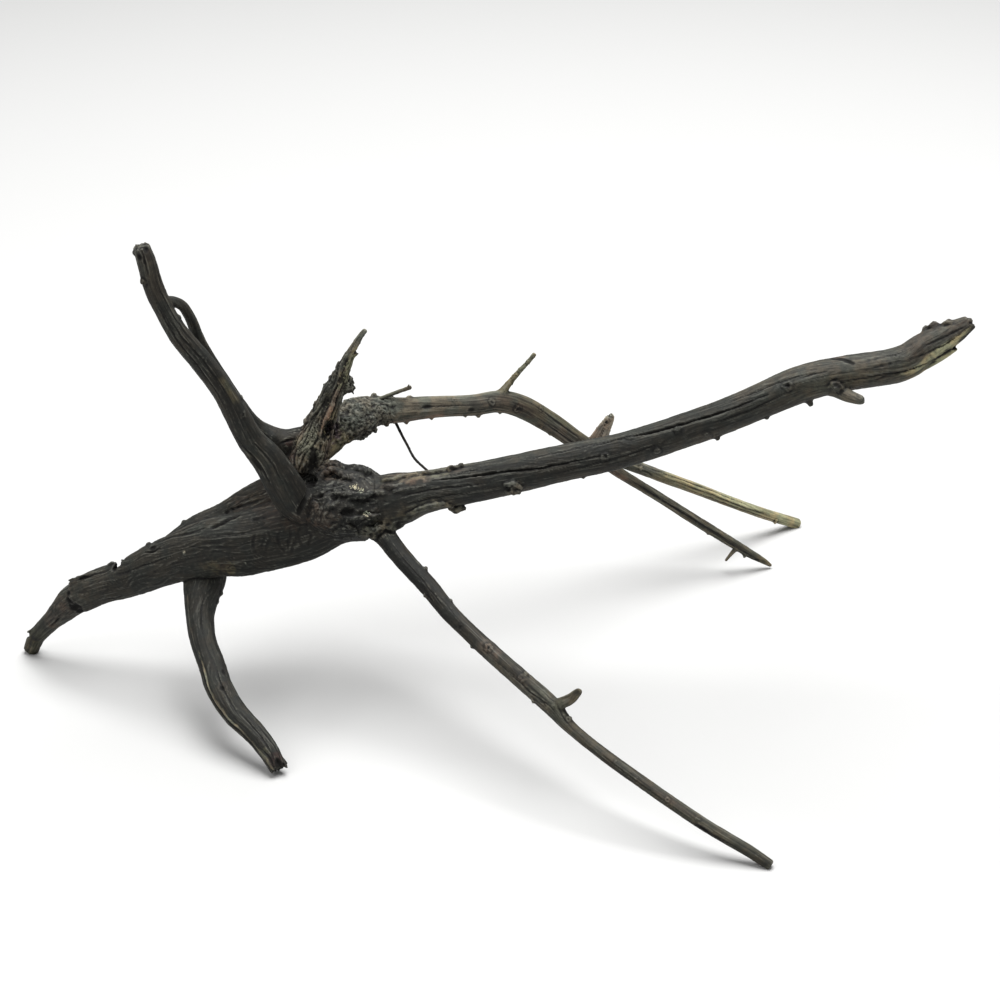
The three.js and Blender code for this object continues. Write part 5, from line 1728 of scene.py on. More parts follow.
def biggest_shell(points: Array, triangles: Array) -> tuple[Array, Array]:
    """Keeps the largest connected shell."""
    groups = islands(len(points), mesh_edges(triangles))
    keep = groups == np.bincount(groups).argmax()
    number = np.cumsum(keep) - 1
    return points[keep], number[triangles[keep[triangles[:, 0]]]]


def neighbour_pairs(triangles: Array) -> Array:
    """The pairs of triangles that share an edge, in a closed mesh."""
    corners = np.concatenate([triangles[:, [0, 1]], triangles[:, [1, 2]], triangles[:, [2, 0]]])
    owner = np.tile(np.arange(len(triangles)), 3)
    key = corners.min(1) * np.int64(triangles.max() + 1) + corners.max(1)
    order = np.argsort(key, kind="stable")
    same = key[order[:-1]] == key[order[1:]]
    return np.stack([owner[order[:-1][same]], owner[order[1:][same]]], 1)


def parted(skin: Skin) -> Array:
    """Gives every triangle to a limb, with no loose islands.

    Args:
        skin: The whole skin.

    Returns:
        The number of each triangle's limb.
    """
    labels = skin.limb[skin.triangles[:, 0]]
    pairs = neighbour_pairs(skin.triangles)
    for _ in range(3):
        same = labels[pairs[:, 0]] == labels[pairs[:, 1]]
        groups = islands(len(labels), pairs[same])
        sizes = np.bincount(groups, minlength=len(labels))
        biggest = {label: np.bincount(groups[labels == label]).argmax() for label in np.unique(labels)}
        stray = groups != np.array([biggest.get(label, -1) for label in range(labels.max() + 1)])[labels]
        if not stray.any():
            break
        border = pairs[~same]
        border = np.concatenate([border, border[:, ::-1]])
        border = border[stray[border[:, 0]] & (sizes[groups[border[:, 1]]] > sizes[groups[border[:, 0]]])]
        taken = dict(zip(groups[border[:, 0]], labels[border[:, 1]]))
        for group, label in taken.items():
            labels[groups == group] = label
    return labels


def closed_part(skin: Skin, labels: Array, label: int) -> tuple[Array, Array, list[list[int]]]:
    """Cuts one limb's part out of the skin and closes it where it was joined to the others.

    Args:
        skin: The whole skin.
        labels: Each triangle's limb.
        label: The limb.

    Returns:
        The part's rows in the skin, its triangles, and the loop of the part's rows round each cap's middle.
    """
    triangles = skin.triangles[labels == label]
    rows, flat = np.unique(triangles, return_inverse=True)
    triangles = flat.reshape(-1, 3)
    sides = np.concatenate([triangles[:, [0, 1]], triangles[:, [1, 2]], triangles[:, [2, 0]]])
    there = set(map(tuple, sides.tolist()))
    ahead: dict[int, list[int]] = {}
    for start, end in there:
        if (end, start) not in there:
            ahead.setdefault(end, []).append(start)
    caps, middles = [], []
    for first in sorted(ahead):
        while ahead[first]:
            loop = [first]
            while True:
                step = ahead[loop[-1]].pop()
                if step == first:
                    break
                loop.append(step)
            middle = len(rows) + len(middles)
            middles.append(loop)
            caps += [(start, end, middle) for start, end in zip(loop, loop[1:] + loop[:1])]
    return rows, np.concatenate([triangles, np.array(caps, int).reshape(-1, 3)]), middles


def piece_from(skin: Skin, labels: Array, label: int, name: str) -> bpy.types.Object:
    """Makes one limb's part of the skin a Blender object.

    Args:
        skin: The whole skin.
        labels: Each triangle's limb.
        label: The limb.
        name: The object's name.

    Returns:
        The object, at the origin, with its place in its mesh.
    """
    rows, triangles, middles = closed_part(skin, labels, label)

    def with_middles(values: Array) -> Array:
        """The part's values, with a mean for each cap's middle."""
        own = values[rows]
        return np.concatenate([own, *(own[loop].mean(0)[None] for loop in middles)]).astype(np.float32)

    return mesh_object(name, with_middles(skin.points), triangles, skin_values(skin, with_middles))


def carrier_from(skin: Skin, mask: str) -> bpy.types.Object:
    """Makes the part of the skin where a value is above 0 an open mesh, for Geometry Nodes to strew things over."""
    triangles = skin.triangles[(getattr(skin, mask)[skin.triangles] > CARRIED_FROM).all(1)]
    rows, flat = np.unique(triangles, return_inverse=True)
    return mesh_object(f"{mask}_carrier", skin.points[rows], flat.reshape(-1, 3),
                       skin_values(skin, lambda values: values[rows]))


def skin_values(skin: Skin, pick: Callable[[Array], Array]) -> dict[str, Array]:
    """The values of some of the skin's points, by their attributes' names."""
    tone = np.concatenate([skin.tone, np.ones((len(skin.tone), 1))], 1)
    return {"tone": pick(tone), "grain": pick(skin.grain) * MM, "forward": pick(skin.forward),
            **{key: pick(getattr(skin, key)) for key in VALUES}}


def mesh_object(name: str, points: Array, triangles: Array, values: dict[str, Array]) -> bpy.types.Object:
    """Makes an object of triangles.

    Args:
        name: Its name.
        points: Its points, in millimetres.
        triangles: Three rows of points each.
        values: Values of the points, by their attributes' names.

    Returns:
        The object, at the origin.
    """
    mesh = bpy.data.meshes.new(name)
    mesh.vertices.add(len(points))
    mesh.vertices.foreach_set("co", (points * MM).astype(np.float32).ravel())
    mesh.loops.add(triangles.size)
    mesh.loops.foreach_set("vertex_index", triangles.ravel().astype(np.int32))
    mesh.polygons.add(len(triangles))
    mesh.polygons.foreach_set("loop_start", np.arange(0, triangles.size, 3, dtype=np.int32))
    mesh.update(calc_edges=True)
    mesh.shade_smooth()
    for key, value in values.items():
        put_values(mesh, key, value)
    made = bpy.data.objects.new(name, mesh)
    bpy.context.scene.collection.objects.link(made)
    return made


def put_values(mesh: bpy.types.Mesh, name: str, values: Array) -> None:
    """Stores values on a mesh's points: numbers, vectors or colours, by their width."""
    kind, key = {1: ("FLOAT", "value"), 3: ("FLOAT_VECTOR", "vector"), 4: ("FLOAT_COLOR", "color")}[
        1 if values.ndim == 1 else values.shape[1]]
    attribute = mesh.attributes.new(name, kind, "POINT")
    attribute.data.foreach_set(key, np.ascontiguousarray(values, np.float32).ravel())


# Node trees and finishes

# Texture waves for each metre, across and along the grain, or the same in every direction.
FIBRE_SCALE = (1100, 1100, 42)
BAND_SCALE = (260, 260, 16)
LINE_SCALE = (620, 620, 20)
KNOBBLY_SCALE, GRIT_SCALE, BLOTCH_SCALE, CLOUD_SCALE, HUE_SCALE = ((waves,) * 3 for waves in (520, 1900, 150, 38, 75))
RIDGE_WEAR_AND_HIGHLIGHT_SHARE = 0.65
LINE_PALENESS = 0.4
LINE_DARKNESS = 0.55

@dataclass
class Nodes:
    """A node tree, with short ways to add its usual nodes."""

    tree: bpy.types.NodeTree

    def node(self, kind: str, **values: object) -> bpy.types.Node:
        """Adds a node and sets its properties."""
        made = self.tree.nodes.new(kind)
        for name, value in values.items():
            setattr(made, name, value)
        return made

    def link(self, source: object, target: bpy.types.NodeSocket) -> None:
        """Links an output to an input, or sets the input's own value."""
        if isinstance(source, bpy.types.NodeSocket):
            self.tree.links.new(source, target)
        elif target.type == "RGBA":
            target.default_value = (*source, 1.0)
        else:
            target.default_value = source

    def vector(self, operation: str, first: object, second: object) -> bpy.types.NodeSocket:
        """One step of vector arithmetic, whose second value is a number where the operation is SCALE."""
        made = self.node("ShaderNodeVectorMath", operation=operation)
        self.link(first, made.inputs[0])
        self.link(second, made.inputs["Scale"] if operation == "SCALE" else made.inputs[1])
        return made.outputs["Vector"]

    def noise(self, vector: bpy.types.NodeSocket, scale: Place, detail: float, rough: float) -> bpy.types.NodeSocket:
        """Noise over a vector that is scaled first."""
        made = self.node("ShaderNodeTexNoise", noise_dimensions="3D")
        made.inputs["Scale"].default_value = 1.0
        made.inputs["Detail"].default_value = detail
        made.inputs["Roughness"].default_value = rough
        self.link(self.vector("MULTIPLY", vector, scale), made.inputs["Vector"])
        return made.outputs["Fac"]

    def maths(self, operation: str, first: object, second: object) -> bpy.types.NodeSocket:
        """One step of arithmetic."""
        made = self.node("ShaderNodeMath", operation=operation)
        self.link(first, made.inputs[0])
        self.link(second, made.inputs[1])
        return made.outputs[0]

    def sum(self, *terms: tuple[object, float]) -> bpy.types.NodeSocket:
        """The sum of values, each with its own share."""
        total = self.maths("MULTIPLY", *terms[0])
        for value, share in terms[1:]:
            total = self.maths("ADD", total, self.maths("MULTIPLY", value, share))
        return total

    def ramp(self, value: object, low: float, high: float) -> bpy.types.NodeSocket:
        """0 at `low`, 1 at `high`, soft between."""
        made = self.node("ShaderNodeMapRange", interpolation_type="SMOOTHSTEP")
        self.link(value, made.inputs["Value"])
        made.inputs["From Min"].default_value = low
        made.inputs["From Max"].default_value = high
        return made.outputs["Result"]

    def span(self, value: object, low: float, high: float) -> bpy.types.NodeSocket:
        """Spreads 0 to 1 over `low` to `high`."""
        made = self.node("ShaderNodeMapRange")
        self.link(value, made.inputs["Value"])
        made.inputs["To Min"].default_value = low
        made.inputs["To Max"].default_value = high
        return made.outputs["Result"]

    def mix(self, share: object, first: object, second: object) -> bpy.types.NodeSocket:
        """A number between two others."""
        made = self.node("ShaderNodeMix", data_type="FLOAT")
        for source, at in ((share, 0), (first, 2), (second, 3)):
            self.link(source, made.inputs[at])
        return made.outputs[0]

    def mix_colour(self, share: object, first: object, second: object) -> bpy.types.NodeSocket:
        """A colour between two others."""
        made = self.node("ShaderNodeMix", data_type="RGBA")
        for source, at in ((share, 0), (first, 6), (second, 7)):
            self.link(source, made.inputs[at])
        return made.outputs[2]


@dataclass(frozen=True)
class Finish:
    """The look of one kind of weathered wood.

    Its first colour is on its ridges, which are rubbed paler and get a painted highlight; `deep` is painted shade in
    its cracks, pits and hollows, and the colour of the dark lines along its grain; `fleck` is on thin pale lines along
    its grain. The wood is tinted towards `warm` in some places and `cool` in others. `streaks` and `mottle` are how far
    it varies, and `level` is how light it is.
    """

    slot: Slot
    worn: Colour
    deep: Colour
    fleck: Colour
    streaks: float
    mottle: float
    gloss: float
    bump: float
    level: float
    warm: Colour = (1.10, 0.99, 0.86)
    cool: Colour = (0.95, 1.02, 0.98)

    def material(self) -> bpy.types.Material:
        """Builds the finish's material from procedural patterns that follow the grain."""
        material = bpy.data.materials.new(self.slot.value)
        material.use_nodes = True
        nodes = Nodes(material.node_tree)
        shader = material.node_tree.nodes["Principled BSDF"]
        grain = nodes.node("ShaderNodeAttribute", attribute_name="grain").outputs["Vector"]
        tone = nodes.node("ShaderNodeAttribute", attribute_name="tone").outputs["Color"]
        flow, hollow, wear, bark = (
            nodes.node("ShaderNodeAttribute", attribute_name=name).outputs["Fac"]
            for name in ("flow", "hollow", "wear", "bark"))
        place = nodes.node("ShaderNodeTexCoord").outputs["Object"]
        fibres = nodes.noise(grain, FIBRE_SCALE, 5, 0.66)
        bands = nodes.noise(grain, BAND_SCALE, 3, 0.55)
        lines = nodes.noise(grain, LINE_SCALE, 2, 0.5)
        knobbly = nodes.noise(place, KNOBBLY_SCALE, 4, 0.6)
        grit = nodes.noise(place, GRIT_SCALE, 2, 0.5)
        blotches = nodes.noise(place, BLOTCH_SCALE, 3, 0.6)
        clouds = nodes.noise(place, CLOUD_SCALE, 3, 0.55)
        hues = nodes.noise(place, HUE_SCALE, 3, 0.6)
        lined = nodes.mix(nodes.maths("MULTIPLY", flow, nodes.span(bark, 1, 0)), knobbly, fibres)
        # The convexity share in this pattern is a little painted light on bulges.
        pattern = nodes.sum((lined, 0.4), (bands, 0.14), (blotches, 0.18), (grit, 0.14), (wear, 0.14))
        shade = nodes.span(nodes.ramp(pattern, 0.41, 0.61), 1 - self.streaks, 1 + 1.5 * self.streaks)
        shade = nodes.maths("MULTIPLY", shade,
                            nodes.span(clouds, self.level * (1 - self.mottle), self.level * (1 + self.mottle)))
        colour = nodes.vector("MULTIPLY", tone, nodes.mix_colour(nodes.ramp(hues, 0.4, 0.6), self.cool, self.warm))
        colour = nodes.vector("SCALE", colour, shade)
        # Ridges are mixed towards a pale colour, partly rubbed wood and partly a painted highlight.
        ridge_wear_and_highlight = nodes.maths("MULTIPLY", nodes.ramp(wear, 0.56, 0.9), nodes.ramp(lined, 0.44, 0.6))
        colour = nodes.mix_colour(nodes.maths("MULTIPLY", ridge_wear_and_highlight, RIDGE_WEAR_AND_HIGHLIGHT_SHARE), colour, self.worn)
        pale = nodes.maths("MULTIPLY", nodes.maths("MULTIPLY", nodes.ramp(lines, 0.62, 0.7), flow), LINE_PALENESS)
        colour = nodes.mix_colour(pale, colour, self.fleck)
        dark = nodes.maths("MULTIPLY", nodes.maths("MULTIPLY", nodes.ramp(lines, 0.4, 0.33), flow), LINE_DARKNESS)
        # Painted shade in hollows and low places, together with the dark lines along the grain.
        painted_shade_and_dark_lines = nodes.maths("MAXIMUM", hollow, nodes.maths("MAXIMUM", dark, nodes.ramp(wear, 0.24, 0.0)))
        colour = nodes.mix_colour(painted_shade_and_dark_lines, colour, self.deep)
        nodes.link(colour, shader.inputs["Base Color"])
        rough = nodes.span(pattern, 1 - self.gloss - 0.12, 1 - self.gloss + 0.2)
        nodes.link(nodes.maths("MAXIMUM", rough, nodes.maths("MULTIPLY", hollow, 0.95)), shader.inputs["Roughness"])
        shader.inputs["Specular IOR Level"].default_value = 0.28
        height = nodes.sum((lined, 0.55), (bands, 0.2), (lines, 0.12), (grit, 0.13))
        bump = nodes.node("ShaderNodeBump")
        bump.inputs["Strength"].default_value = self.bump
        bump.inputs["Distance"].default_value = 0.001
        nodes.link(height, bump.inputs["Height"])
        nodes.link(bump.outputs["Normal"], shader.inputs["Normal"])
        return material


# In each finish, the first colour is rubbed wood with a painted highlight, and deep is painted shade and the colour of
# dark grain lines.
FINISHES = (
    Finish(slot=Slot.DARK, worn=(0.105, 0.104, 0.088), deep=(0.0035, 0.0032, 0.0026), fleck=(0.092, 0.091, 0.076),
           streaks=0.5, mottle=0.3, gloss=0.34, bump=0.8, level=0.54),
    Finish(slot=Slot.GREY, worn=(0.14, 0.136, 0.112), deep=(0.0045, 0.004, 0.0032), fleck=(0.15, 0.146, 0.12),
           streaks=0.52, mottle=0.28, gloss=0.32, bump=0.7, level=0.49),
    Finish(slot=Slot.BARK, worn=(0.16, 0.155, 0.13), deep=(0.006, 0.0053, 0.0043), fleck=(0.18, 0.17, 0.14),
           streaks=0.52, mottle=0.3, gloss=0.22, bump=0.8, level=0.74),
    Finish(slot=Slot.PALE, worn=(0.33, 0.30, 0.21), deep=(0.025, 0.021, 0.014), fleck=(0.36, 0.33, 0.23),
           streaks=0.42, mottle=0.2, gloss=0.25, bump=0.6, level=1.45),
)


# Sub-assemblies of small pieces, made by Geometry Nodes

@dataclass
class Recipe(Nodes):
    """A Geometry Nodes tree with named inputs, which makes small pieces on a carrier."""

    values: dict[str, float | int | bpy.types.Material]

    def __post_init__(self) -> None:
        """Adds the tree's inputs and its output."""
        kinds = {float: "NodeSocketFloat", int: "NodeSocketInt", bpy.types.Material: "NodeSocketMaterial"}
        interface = self.tree.interface
        interface.new_socket("Geometry", in_out="INPUT", socket_type="NodeSocketGeometry")
        interface.new_socket("Geometry", in_out="OUTPUT", socket_type="NodeSocketGeometry")
        self.keys = {name: interface.new_socket(name, in_out="INPUT", socket_type=kinds[type(value)]).identifier
                     for name, value in self.values.items()}
        self.given = self.node("NodeGroupInput").outputs
        self.end = self.node("NodeGroupOutput").inputs["Geometry"]

    def attribute(self, name: str, kind: str = "FLOAT") -> bpy.types.NodeSocket:
        """Reads a value that the geometry carries."""
        made = self.node("GeometryNodeInputNamedAttribute", data_type=kind)
        made.inputs["Name"].default_value = name
        return made.outputs["Attribute"]

    def store(self, geometry: bpy.types.NodeSocket, name: str, value: object, kind: str = "FLOAT") -> object:
        """Stores a value on the geometry's points.

        Args:
            geometry: The geometry.
            name: The value's name.
            value: The value.
            kind: Its kind.

        Returns:
            The geometry with the value.
        """
        made = self.node("GeometryNodeStoreNamedAttribute", data_type=kind, domain="POINT")
        self.link(geometry, made.inputs["Geometry"])
        made.inputs["Name"].default_value = name
        self.link(value, made.inputs["Value"])
        return made.outputs["Geometry"]

    def random(self, low: float | Place, high: float | Place, step: int) -> bpy.types.NodeSocket:
        """A random number or vector for each point, with its own step from the tree's seed."""
        many = isinstance(low, tuple)
        made = self.node("FunctionNodeRandomValue", data_type="FLOAT_VECTOR" if many else "FLOAT")
        first, second, out = (0, 1, 0) if many else (2, 3, 1)
        self.link(low, made.inputs[first])
        self.link(high, made.inputs[second])
        self.link(self.maths("ADD", self.given["Seed"], step), made.inputs["Seed"])
        return made.outputs[out]

    def points(self, mask: str) -> bpy.types.Node:
        """Strews points over the carrier's faces, as many as the mask says."""
        made = self.node("GeometryNodeDistributePointsOnFaces", distribute_method="RANDOM")
        self.link(self.given["Geometry"], made.inputs["Mesh"])
        density = self.maths("MULTIPLY", self.given["Number for each square metre"],
                             self.ramp(self.attribute(mask), 0.25, 0.75))
        self.link(density, made.inputs["Density"])
        self.link(self.given["Seed"], made.inputs["Seed"])
        return made

    def instances(self, points: object, shape: object, rotation: object, scale: object) -> bpy.types.NodeSocket:
        """Puts a shape on every point, as real geometry."""
        made = self.node("GeometryNodeInstanceOnPoints")
        for source, name in ((points, "Points"), (shape, "Instance"), (rotation, "Rotation"), (scale, "Scale")):
            self.link(source, made.inputs[name])
        real = self.node("GeometryNodeRealizeInstances")
        self.link(made.outputs["Instances"], real.inputs["Geometry"])
        return real.outputs["Geometry"]

    def uneven(self, geometry: bpy.types.NodeSocket) -> bpy.types.NodeSocket:
        """Pushes the points in and out by the unevenness that the tree is given."""
        place = self.node("GeometryNodeInputPosition").outputs["Position"]
        bulge = self.maths("SUBTRACT", self.noise(place, (700, 700, 700), 2, 0.6), 0.5)
        push = self.maths("MULTIPLY", bulge, self.given["Unevenness"])
        moved = self.node("GeometryNodeSetPosition")
        self.link(geometry, moved.inputs["Geometry"])
        normal = self.node("GeometryNodeInputNormal").outputs["Normal"]
        self.link(self.vector("SCALE", normal, push), moved.inputs["Offset"])
        return moved.outputs["Geometry"]

    def finish(self, geometry: bpy.types.NodeSocket) -> None:
        """Ends the tree in real geometry with its material."""
        smooth = self.node("GeometryNodeSetShadeSmooth")
        self.link(geometry, smooth.inputs["Geometry"])
        real = self.node("GeometryNodeRealizeInstances")
        self.link(smooth.outputs["Geometry"], real.inputs["Geometry"])
        dressed = self.node("GeometryNodeSetMaterial")
        self.link(real.outputs["Geometry"], dressed.inputs["Geometry"])
        self.link(self.given["Material"], dressed.inputs["Material"])
        self.link(dressed.outputs["Geometry"], self.end)

    def piece(self, carrier: bpy.types.Object, name: str) -> bpy.types.Object:
        """Runs the tree on a carrier, which is used up.

        Args:
            carrier: The mesh that the tree works on.
            name: The finished piece's name.

        Returns:
            The piece, a plain mesh.
        """
        modifier = carrier.modifiers.new(name, "NODES")
        modifier.node_group = self.tree
        for key, identifier in self.keys.items():
            modifier[identifier] = self.values[key]
        depsgraph = bpy.context.evaluated_depsgraph_get()
        mesh = bpy.data.meshes.new_from_object(
            carrier.evaluated_get(depsgraph), preserve_all_data_layers=True, depsgraph=depsgraph)
        bpy.data.objects.remove(carrier)
        mesh.name = name
        piece = bpy.data.objects.new(name, mesh)
        bpy.context.scene.collection.objects.link(piece)
        return piece


@dataclass(kw_only=True)
class SmallPieces:
    """What Geometry Nodes add to the wood."""

    name: str
    slot: Slot
    seed: int = 3
    uneven: float = 0.5

    def recipe(self, material: bpy.types.Material, **sizes: float | int) -> Recipe:
        """Starts the tree, with its named inputs."""
        values = {**sizes, "Unevenness": self.uneven * MM, "Seed": self.seed, "Material": material}
        return Recipe(bpy.data.node_groups.new(self.name, "GeometryNodeTree"), values)

    def dress(self, piece: bpy.types.Object) -> None:
        """Gives the piece its place in the model."""
        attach(piece, "root")


@dataclass(kw_only=True)
class Grains(SmallPieces):
    """Rounded grains on a part of the skin: crumbs of bark, or lichen."""

    mask: str
    number: float
    smallest: Place
    largest: Place
    rounds: int
    tone: Colour | None = None

    def build(self, skin: Skin, materials: dict[Slot, bpy.types.Material]) -> bpy.types.Object:
        """Strews the grains.

        Args:
            skin: The merged wood's skin.
            materials: The material of each slot.

        Returns:
            The piece.
        """
        tree = self.recipe(materials[self.slot], **{"Number for each square metre": self.number, "Size": MM})
        points = tree.points(self.mask)
        tone = self.tone or tree.attribute("tone", "FLOAT_COLOR")
        tone = tree.vector("SCALE", tone, tree.random(0.6, 1.25, 1))
        carried = tree.store(points.outputs["Points"], "tone", tone, "FLOAT_COLOR")
        ball = tree.node("GeometryNodeMeshIcoSphere")
        ball.inputs["Subdivisions"].default_value = self.rounds
        turn = tree.node("FunctionNodeAxisAngleToRotation")
        tree.link(tree.random(0.0, 2 * math.pi, 2), turn.inputs["Angle"])
        rotation = tree.node("FunctionNodeRotateRotation", rotation_space="LOCAL")
        tree.link(points.outputs["Rotation"], rotation.inputs["Rotation"])
        tree.link(turn.outputs["Rotation"], rotation.inputs["Rotate By"])
        scale = tree.vector("SCALE", tree.random(self.smallest, self.largest, 3), tree.given["Size"])
        grains = tree.instances(carried, ball.outputs["Mesh"], rotation.outputs["Rotation"], scale)
        # The grains carry no painted shade, and a middling convexity, which gives no painted highlight either.
        for name, value in (("flow", 0.0), ("hollow", 0.0), ("wear", 0.55), ("bark", 1.0)):
            grains = tree.store(grains, name, value)
        tree.finish(tree.uneven(grains))
        return tree.piece(carrier_from(skin, self.mask), self.name)


@dataclass(kw_only=True)
class TornFibres(SmallPieces):
    """Thin splinters that stand out of the torn ends, along the grain."""

    number: float = 12000.0
    smallest: Place = (0.2, 0.2, 0.6)
    largest: Place = (0.5, 0.5, 2.2)
    spread: float = 0.25
    sides: int = 5

    def build(self, skin: Skin, materials: dict[Slot, bpy.types.Material]) -> bpy.types.Object:
        """Sets the splinters into the torn ends.

        Args:
            skin: The merged wood's skin.
            materials: The material of each slot.

        Returns:
            The piece.
        """
        tree = self.recipe(materials[self.slot], **{
            "Number for each square metre": self.number, "Size": MM, "Spread": self.spread, "Sides": self.sides})
        points = tree.points("torn")
        splinter = tree.node("GeometryNodeMeshCone")
        tree.link(tree.given["Sides"], splinter.inputs["Vertices"])
        for name, value in (("Radius Top", 0.15), ("Radius Bottom", 1.0), ("Depth", 1.0)):
            splinter.inputs[name].default_value = value
        lean = tree.vector("SCALE", tree.random((-1.0, -1.0, -1.0), (1.0, 1.0, 1.0), 1), tree.given["Spread"])
        rotation = tree.node("FunctionNodeAlignRotationToVector", axis="Z")
        tree.link(tree.vector("ADD", tree.attribute("forward", "FLOAT_VECTOR"), lean), rotation.inputs["Vector"])
        scale = tree.vector("SCALE", tree.random(self.smallest, self.largest, 2), tree.given["Size"])
        tone = tree.vector("SCALE", tree.attribute("tone", "FLOAT_COLOR"), tree.random(0.7, 2.2, 3))
        carried = tree.store(points.outputs["Points"], "tone", tone, "FLOAT_COLOR")
        splinters = tree.instances(carried, splinter.outputs["Mesh"], rotation.outputs["Rotation"], scale)
        # The splinters carry no painted shade, and a middling convexity, which gives no painted highlight either.
        for name, value in (("flow", 0.0), ("hollow", 0.0), ("wear", 0.5)):
            splinters = tree.store(splinters, name, value)
        tree.finish(splinters)
        return tree.piece(carrier_from(skin, "torn"), self.name)


@dataclass(kw_only=True)
class TwigWood(SmallPieces):
    """The twigs and rootlets, as tubes along their routes."""

    twigs: list[Twig]
    sides: int = 12

    def build(self, skin: Skin, materials: dict[Slot, bpy.types.Material]) -> bpy.types.Object:
        """Makes the tubes.

        Args:
            skin: Not used. The tubes start inside the merged wood's skin.
            materials: The material of each slot.

        Returns:
            The piece.
        """
        tree = self.recipe(materials[self.slot], Sides=self.sides)
        curve = tree.node("GeometryNodeMeshToCurve")
        tree.link(tree.given["Geometry"], curve.inputs["Mesh"])
        ring = tree.node("GeometryNodeCurvePrimitiveCircle")
        tree.link(tree.given["Sides"], ring.inputs["Resolution"])
        ring.inputs["Radius"].default_value = 1.0
        tube = tree.node("GeometryNodeCurveToMesh")
        tree.link(curve.outputs["Curve"], tube.inputs["Curve"])
        tree.link(ring.outputs["Curve"], tube.inputs["Profile Curve"])
        tree.link(tree.attribute("half_width"), tube.inputs["Scale"])
        tube.inputs["Fill Caps"].default_value = True
        normal = tree.vector("SCALE", tree.node("GeometryNodeInputNormal").outputs["Normal"], 1.6 * MM)
        axes = tree.node("ShaderNodeSeparateXYZ")
        tree.link(normal, axes.inputs["Vector"])
        grain = tree.node("ShaderNodeCombineXYZ")
        for source, name in ((axes.outputs["Y"], "X"), (axes.outputs["Z"], "Y"), (tree.attribute("run"), "Z")):
            tree.link(source, grain.inputs[name])
        tubes = tree.store(tube.outputs["Mesh"], "grain", grain.outputs["Vector"], "FLOAT_VECTOR")
        # The twigs carry no painted shade, and a middling convexity, which gives no painted highlight either.
        for name, value in (("flow", 1.0), ("hollow", 0.0), ("wear", 0.5), ("bark", 0.0)):
            tubes = tree.store(tubes, name, value)
        tree.finish(tree.uneven(tubes))
        return tree.piece(self.routes(), self.name)

    def routes(self) -> bpy.types.Object:
        """The twigs' routes, as lines with a half width, a colour and a run at each point."""
        centres = [twig.strand.centres for twig in self.twigs]
        starts = np.cumsum([0, *map(len, centres)])
        edges = [(at, at + 1) for start, line in zip(starts, centres) for at in range(start, start + len(line) - 1)]
        mesh = bpy.data.meshes.new("twig_routes")
        mesh.from_pydata(np.concatenate(centres) * MM, edges, [])
        put_values(mesh, "half_width", np.concatenate([twig.strand.halves.mean(1) for twig in self.twigs]) * MM)
        put_values(mesh, "run", np.concatenate(
            [np.arange(len(line)) * twig.strand.spacing for twig, line in zip(self.twigs, centres)]) * MM)
        put_values(mesh, "tone", np.concatenate(
            [np.tile((*twig.tone, 1.0), (len(line), 1)) for twig, line in zip(self.twigs, centres)]))
        carrier = bpy.data.objects.new("twig_routes", mesh)
        bpy.context.scene.collection.objects.link(carrier)
        return carrier


# Stage

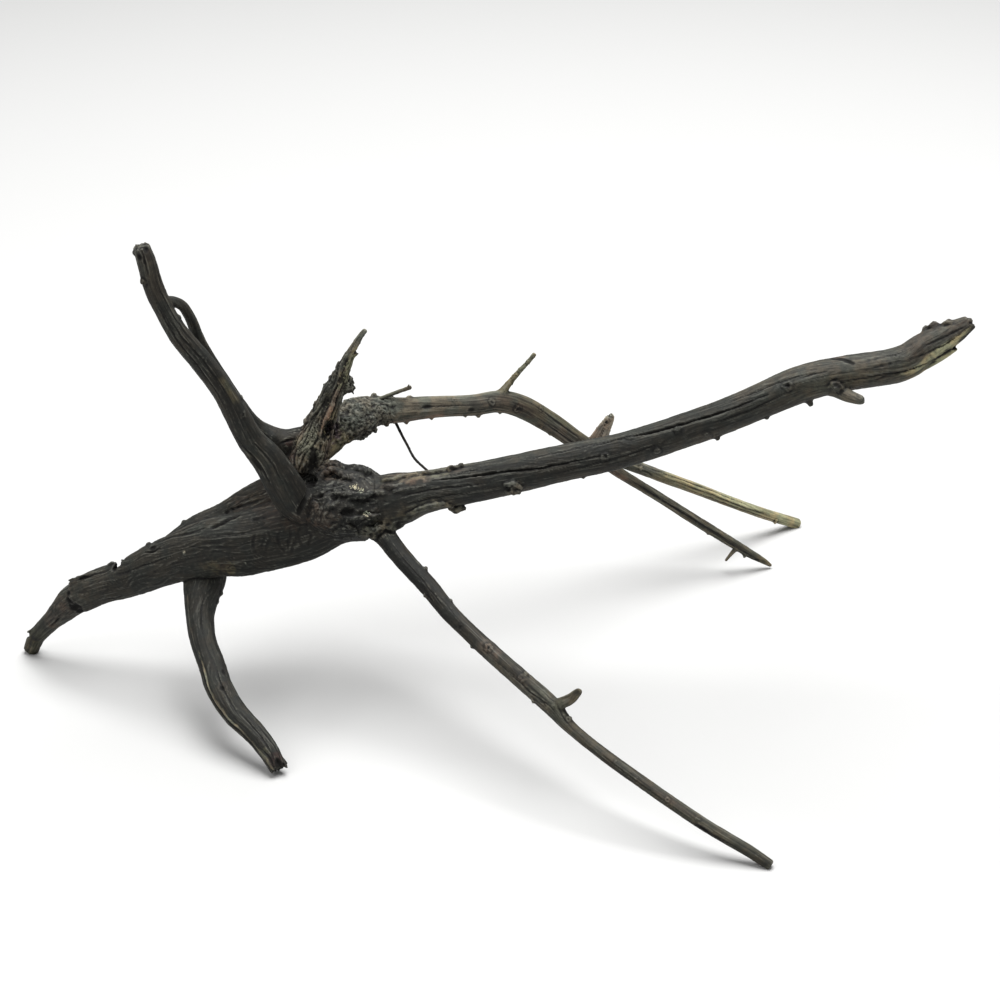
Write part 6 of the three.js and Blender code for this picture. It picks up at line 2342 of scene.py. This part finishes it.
@dataclass
class Stage:
    """The camera at the photograph's angle, a pale floor and soft studio light."""

    target: Place = (0.0174, 0.0092, 0.139)
    distance: float = 1.54
    elevation: float = 28.0
    lens: float = 79.2
    sensor: float = 36.0
    floor_size: float = 12.0
    floor_tone: Colour = (0.47, 0.47, 0.466)
    room: float = 0.28
    lamps: tuple[tuple[str, Place, float, float], ...] = (
        ("top", (0.3, 0.6, 3.0), 2.3, 205.0), ("front", (-1.1, -1.0, 1.7), 1.4, 16.0),
    )

    def camera(self) -> None:
        """Makes the camera."""
        data = bpy.data.cameras.new("camera")
        data.lens = self.lens
        data.sensor_width = self.sensor
        camera = bpy.data.objects.new("camera", data)
        bpy.context.scene.collection.objects.link(camera)
        raised = math.radians(self.elevation)
        back = Vector((0, -math.cos(raised), math.sin(raised)))
        camera.location = Vector(self.target) + back * self.distance
        camera.rotation_euler = (-back).to_track_quat("-Z", "Y").to_euler()
        bpy.context.scene.camera = camera

    def floor(self) -> None:
        """Makes the pale floor."""
        half = self.floor_size / 2
        mesh = bpy.data.meshes.new("floor")
        mesh.from_pydata([(-half, -half, 0), (half, -half, 0), (half, half, 0), (-half, half, 0)], [], [(0, 1, 2, 3)])
        floor = bpy.data.objects.new("floor", mesh)
        bpy.context.scene.collection.objects.link(floor)
        material = bpy.data.materials.new("pale_floor")
        material.use_nodes = True
        shader = material.node_tree.nodes["Principled BSDF"]
        shader.inputs["Base Color"].default_value = (*self.floor_tone, 1)
        shader.inputs["Roughness"].default_value = 0.9
        shader.inputs["Specular IOR Level"].default_value = 0.1
        floor.data.materials.append(material)

    def light(self) -> None:
        """Makes the soft light of the room and the large lamps."""
        world = bpy.data.worlds.new("room")
        world.use_nodes = True
        world.node_tree.nodes["Background"].inputs["Color"].default_value = (1, 1, 1, 1)
        world.node_tree.nodes["Background"].inputs["Strength"].default_value = self.room
        bpy.context.scene.world = world
        for name, place, size, power in self.lamps:
            data = bpy.data.lights.new(name, "AREA")
            data.size = size
            data.energy = power
            lamp = bpy.data.objects.new(name, data)
            lamp.location = place
            lamp.rotation_euler = (Vector(place) - Vector(self.target)).to_track_quat("Z", "Y").to_euler()
            bpy.context.scene.collection.objects.link(lamp)
        bpy.context.scene.view_settings.view_transform = "Standard"


def report(piece: bpy.types.Object) -> None:
    """Logs a finished piece."""
    piece.data.calc_loop_triangles()
    log.info("%s: %d triangles", piece.name, len(piece.data.loop_triangles))


def main() -> None:
    """Builds the root wood piece by piece and reports each one."""
    logging.basicConfig(level=logging.INFO, format="%(message)s")
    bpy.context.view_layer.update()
    stage = Stage()
    stage.camera()
    stage.floor()
    stage.light()
    back_branch = BackBranch()
    limbs = [LeftRoot(), LeftLeg(), RightLeg(), LongBranch(), FrontHorn(), RearHorn(), SplinteredStump(),
             back_branch, BackLeg(), BackSpear()]
    wood = GrownWood(Crown(), limbs)
    skin = wood.skin()
    labels = parted(skin)
    materials = {finish.slot: finish.material() for finish in FINISHES}
    for number, growth in enumerate(wood.growths):
        piece = growth.build(skin, labels, number)
        growth.dress(piece, materials)
        report(piece)
    small_pieces = [
        Grains(name="bark_crumbs", slot=Slot.BARK, mask="bark", number=100000.0, smallest=(0.4, 0.35, 0.15),
               largest=(1.25, 1.0, 0.45), rounds=1, uneven=0.5),
        Grains(name="lichen", slot=Slot.PALE, mask="lichen", number=900000.0, smallest=(0.25, 0.25, 0.2),
               largest=(0.6, 0.5, 0.4), rounds=2, uneven=0.3, tone=(0.24, 0.24, 0.19)),
        TornFibres(name="torn_fibres", slot=Slot.GREY),
        TwigWood(name="twigs", slot=Slot.BARK, twigs=back_branch.twigs, uneven=0.7),
    ]
    for small in small_pieces:
        piece = small.build(skin, materials)
        small.dress(piece)
        report(piece)
    bpy.context.view_layer.update()


if __name__ == "__main__":
    main()
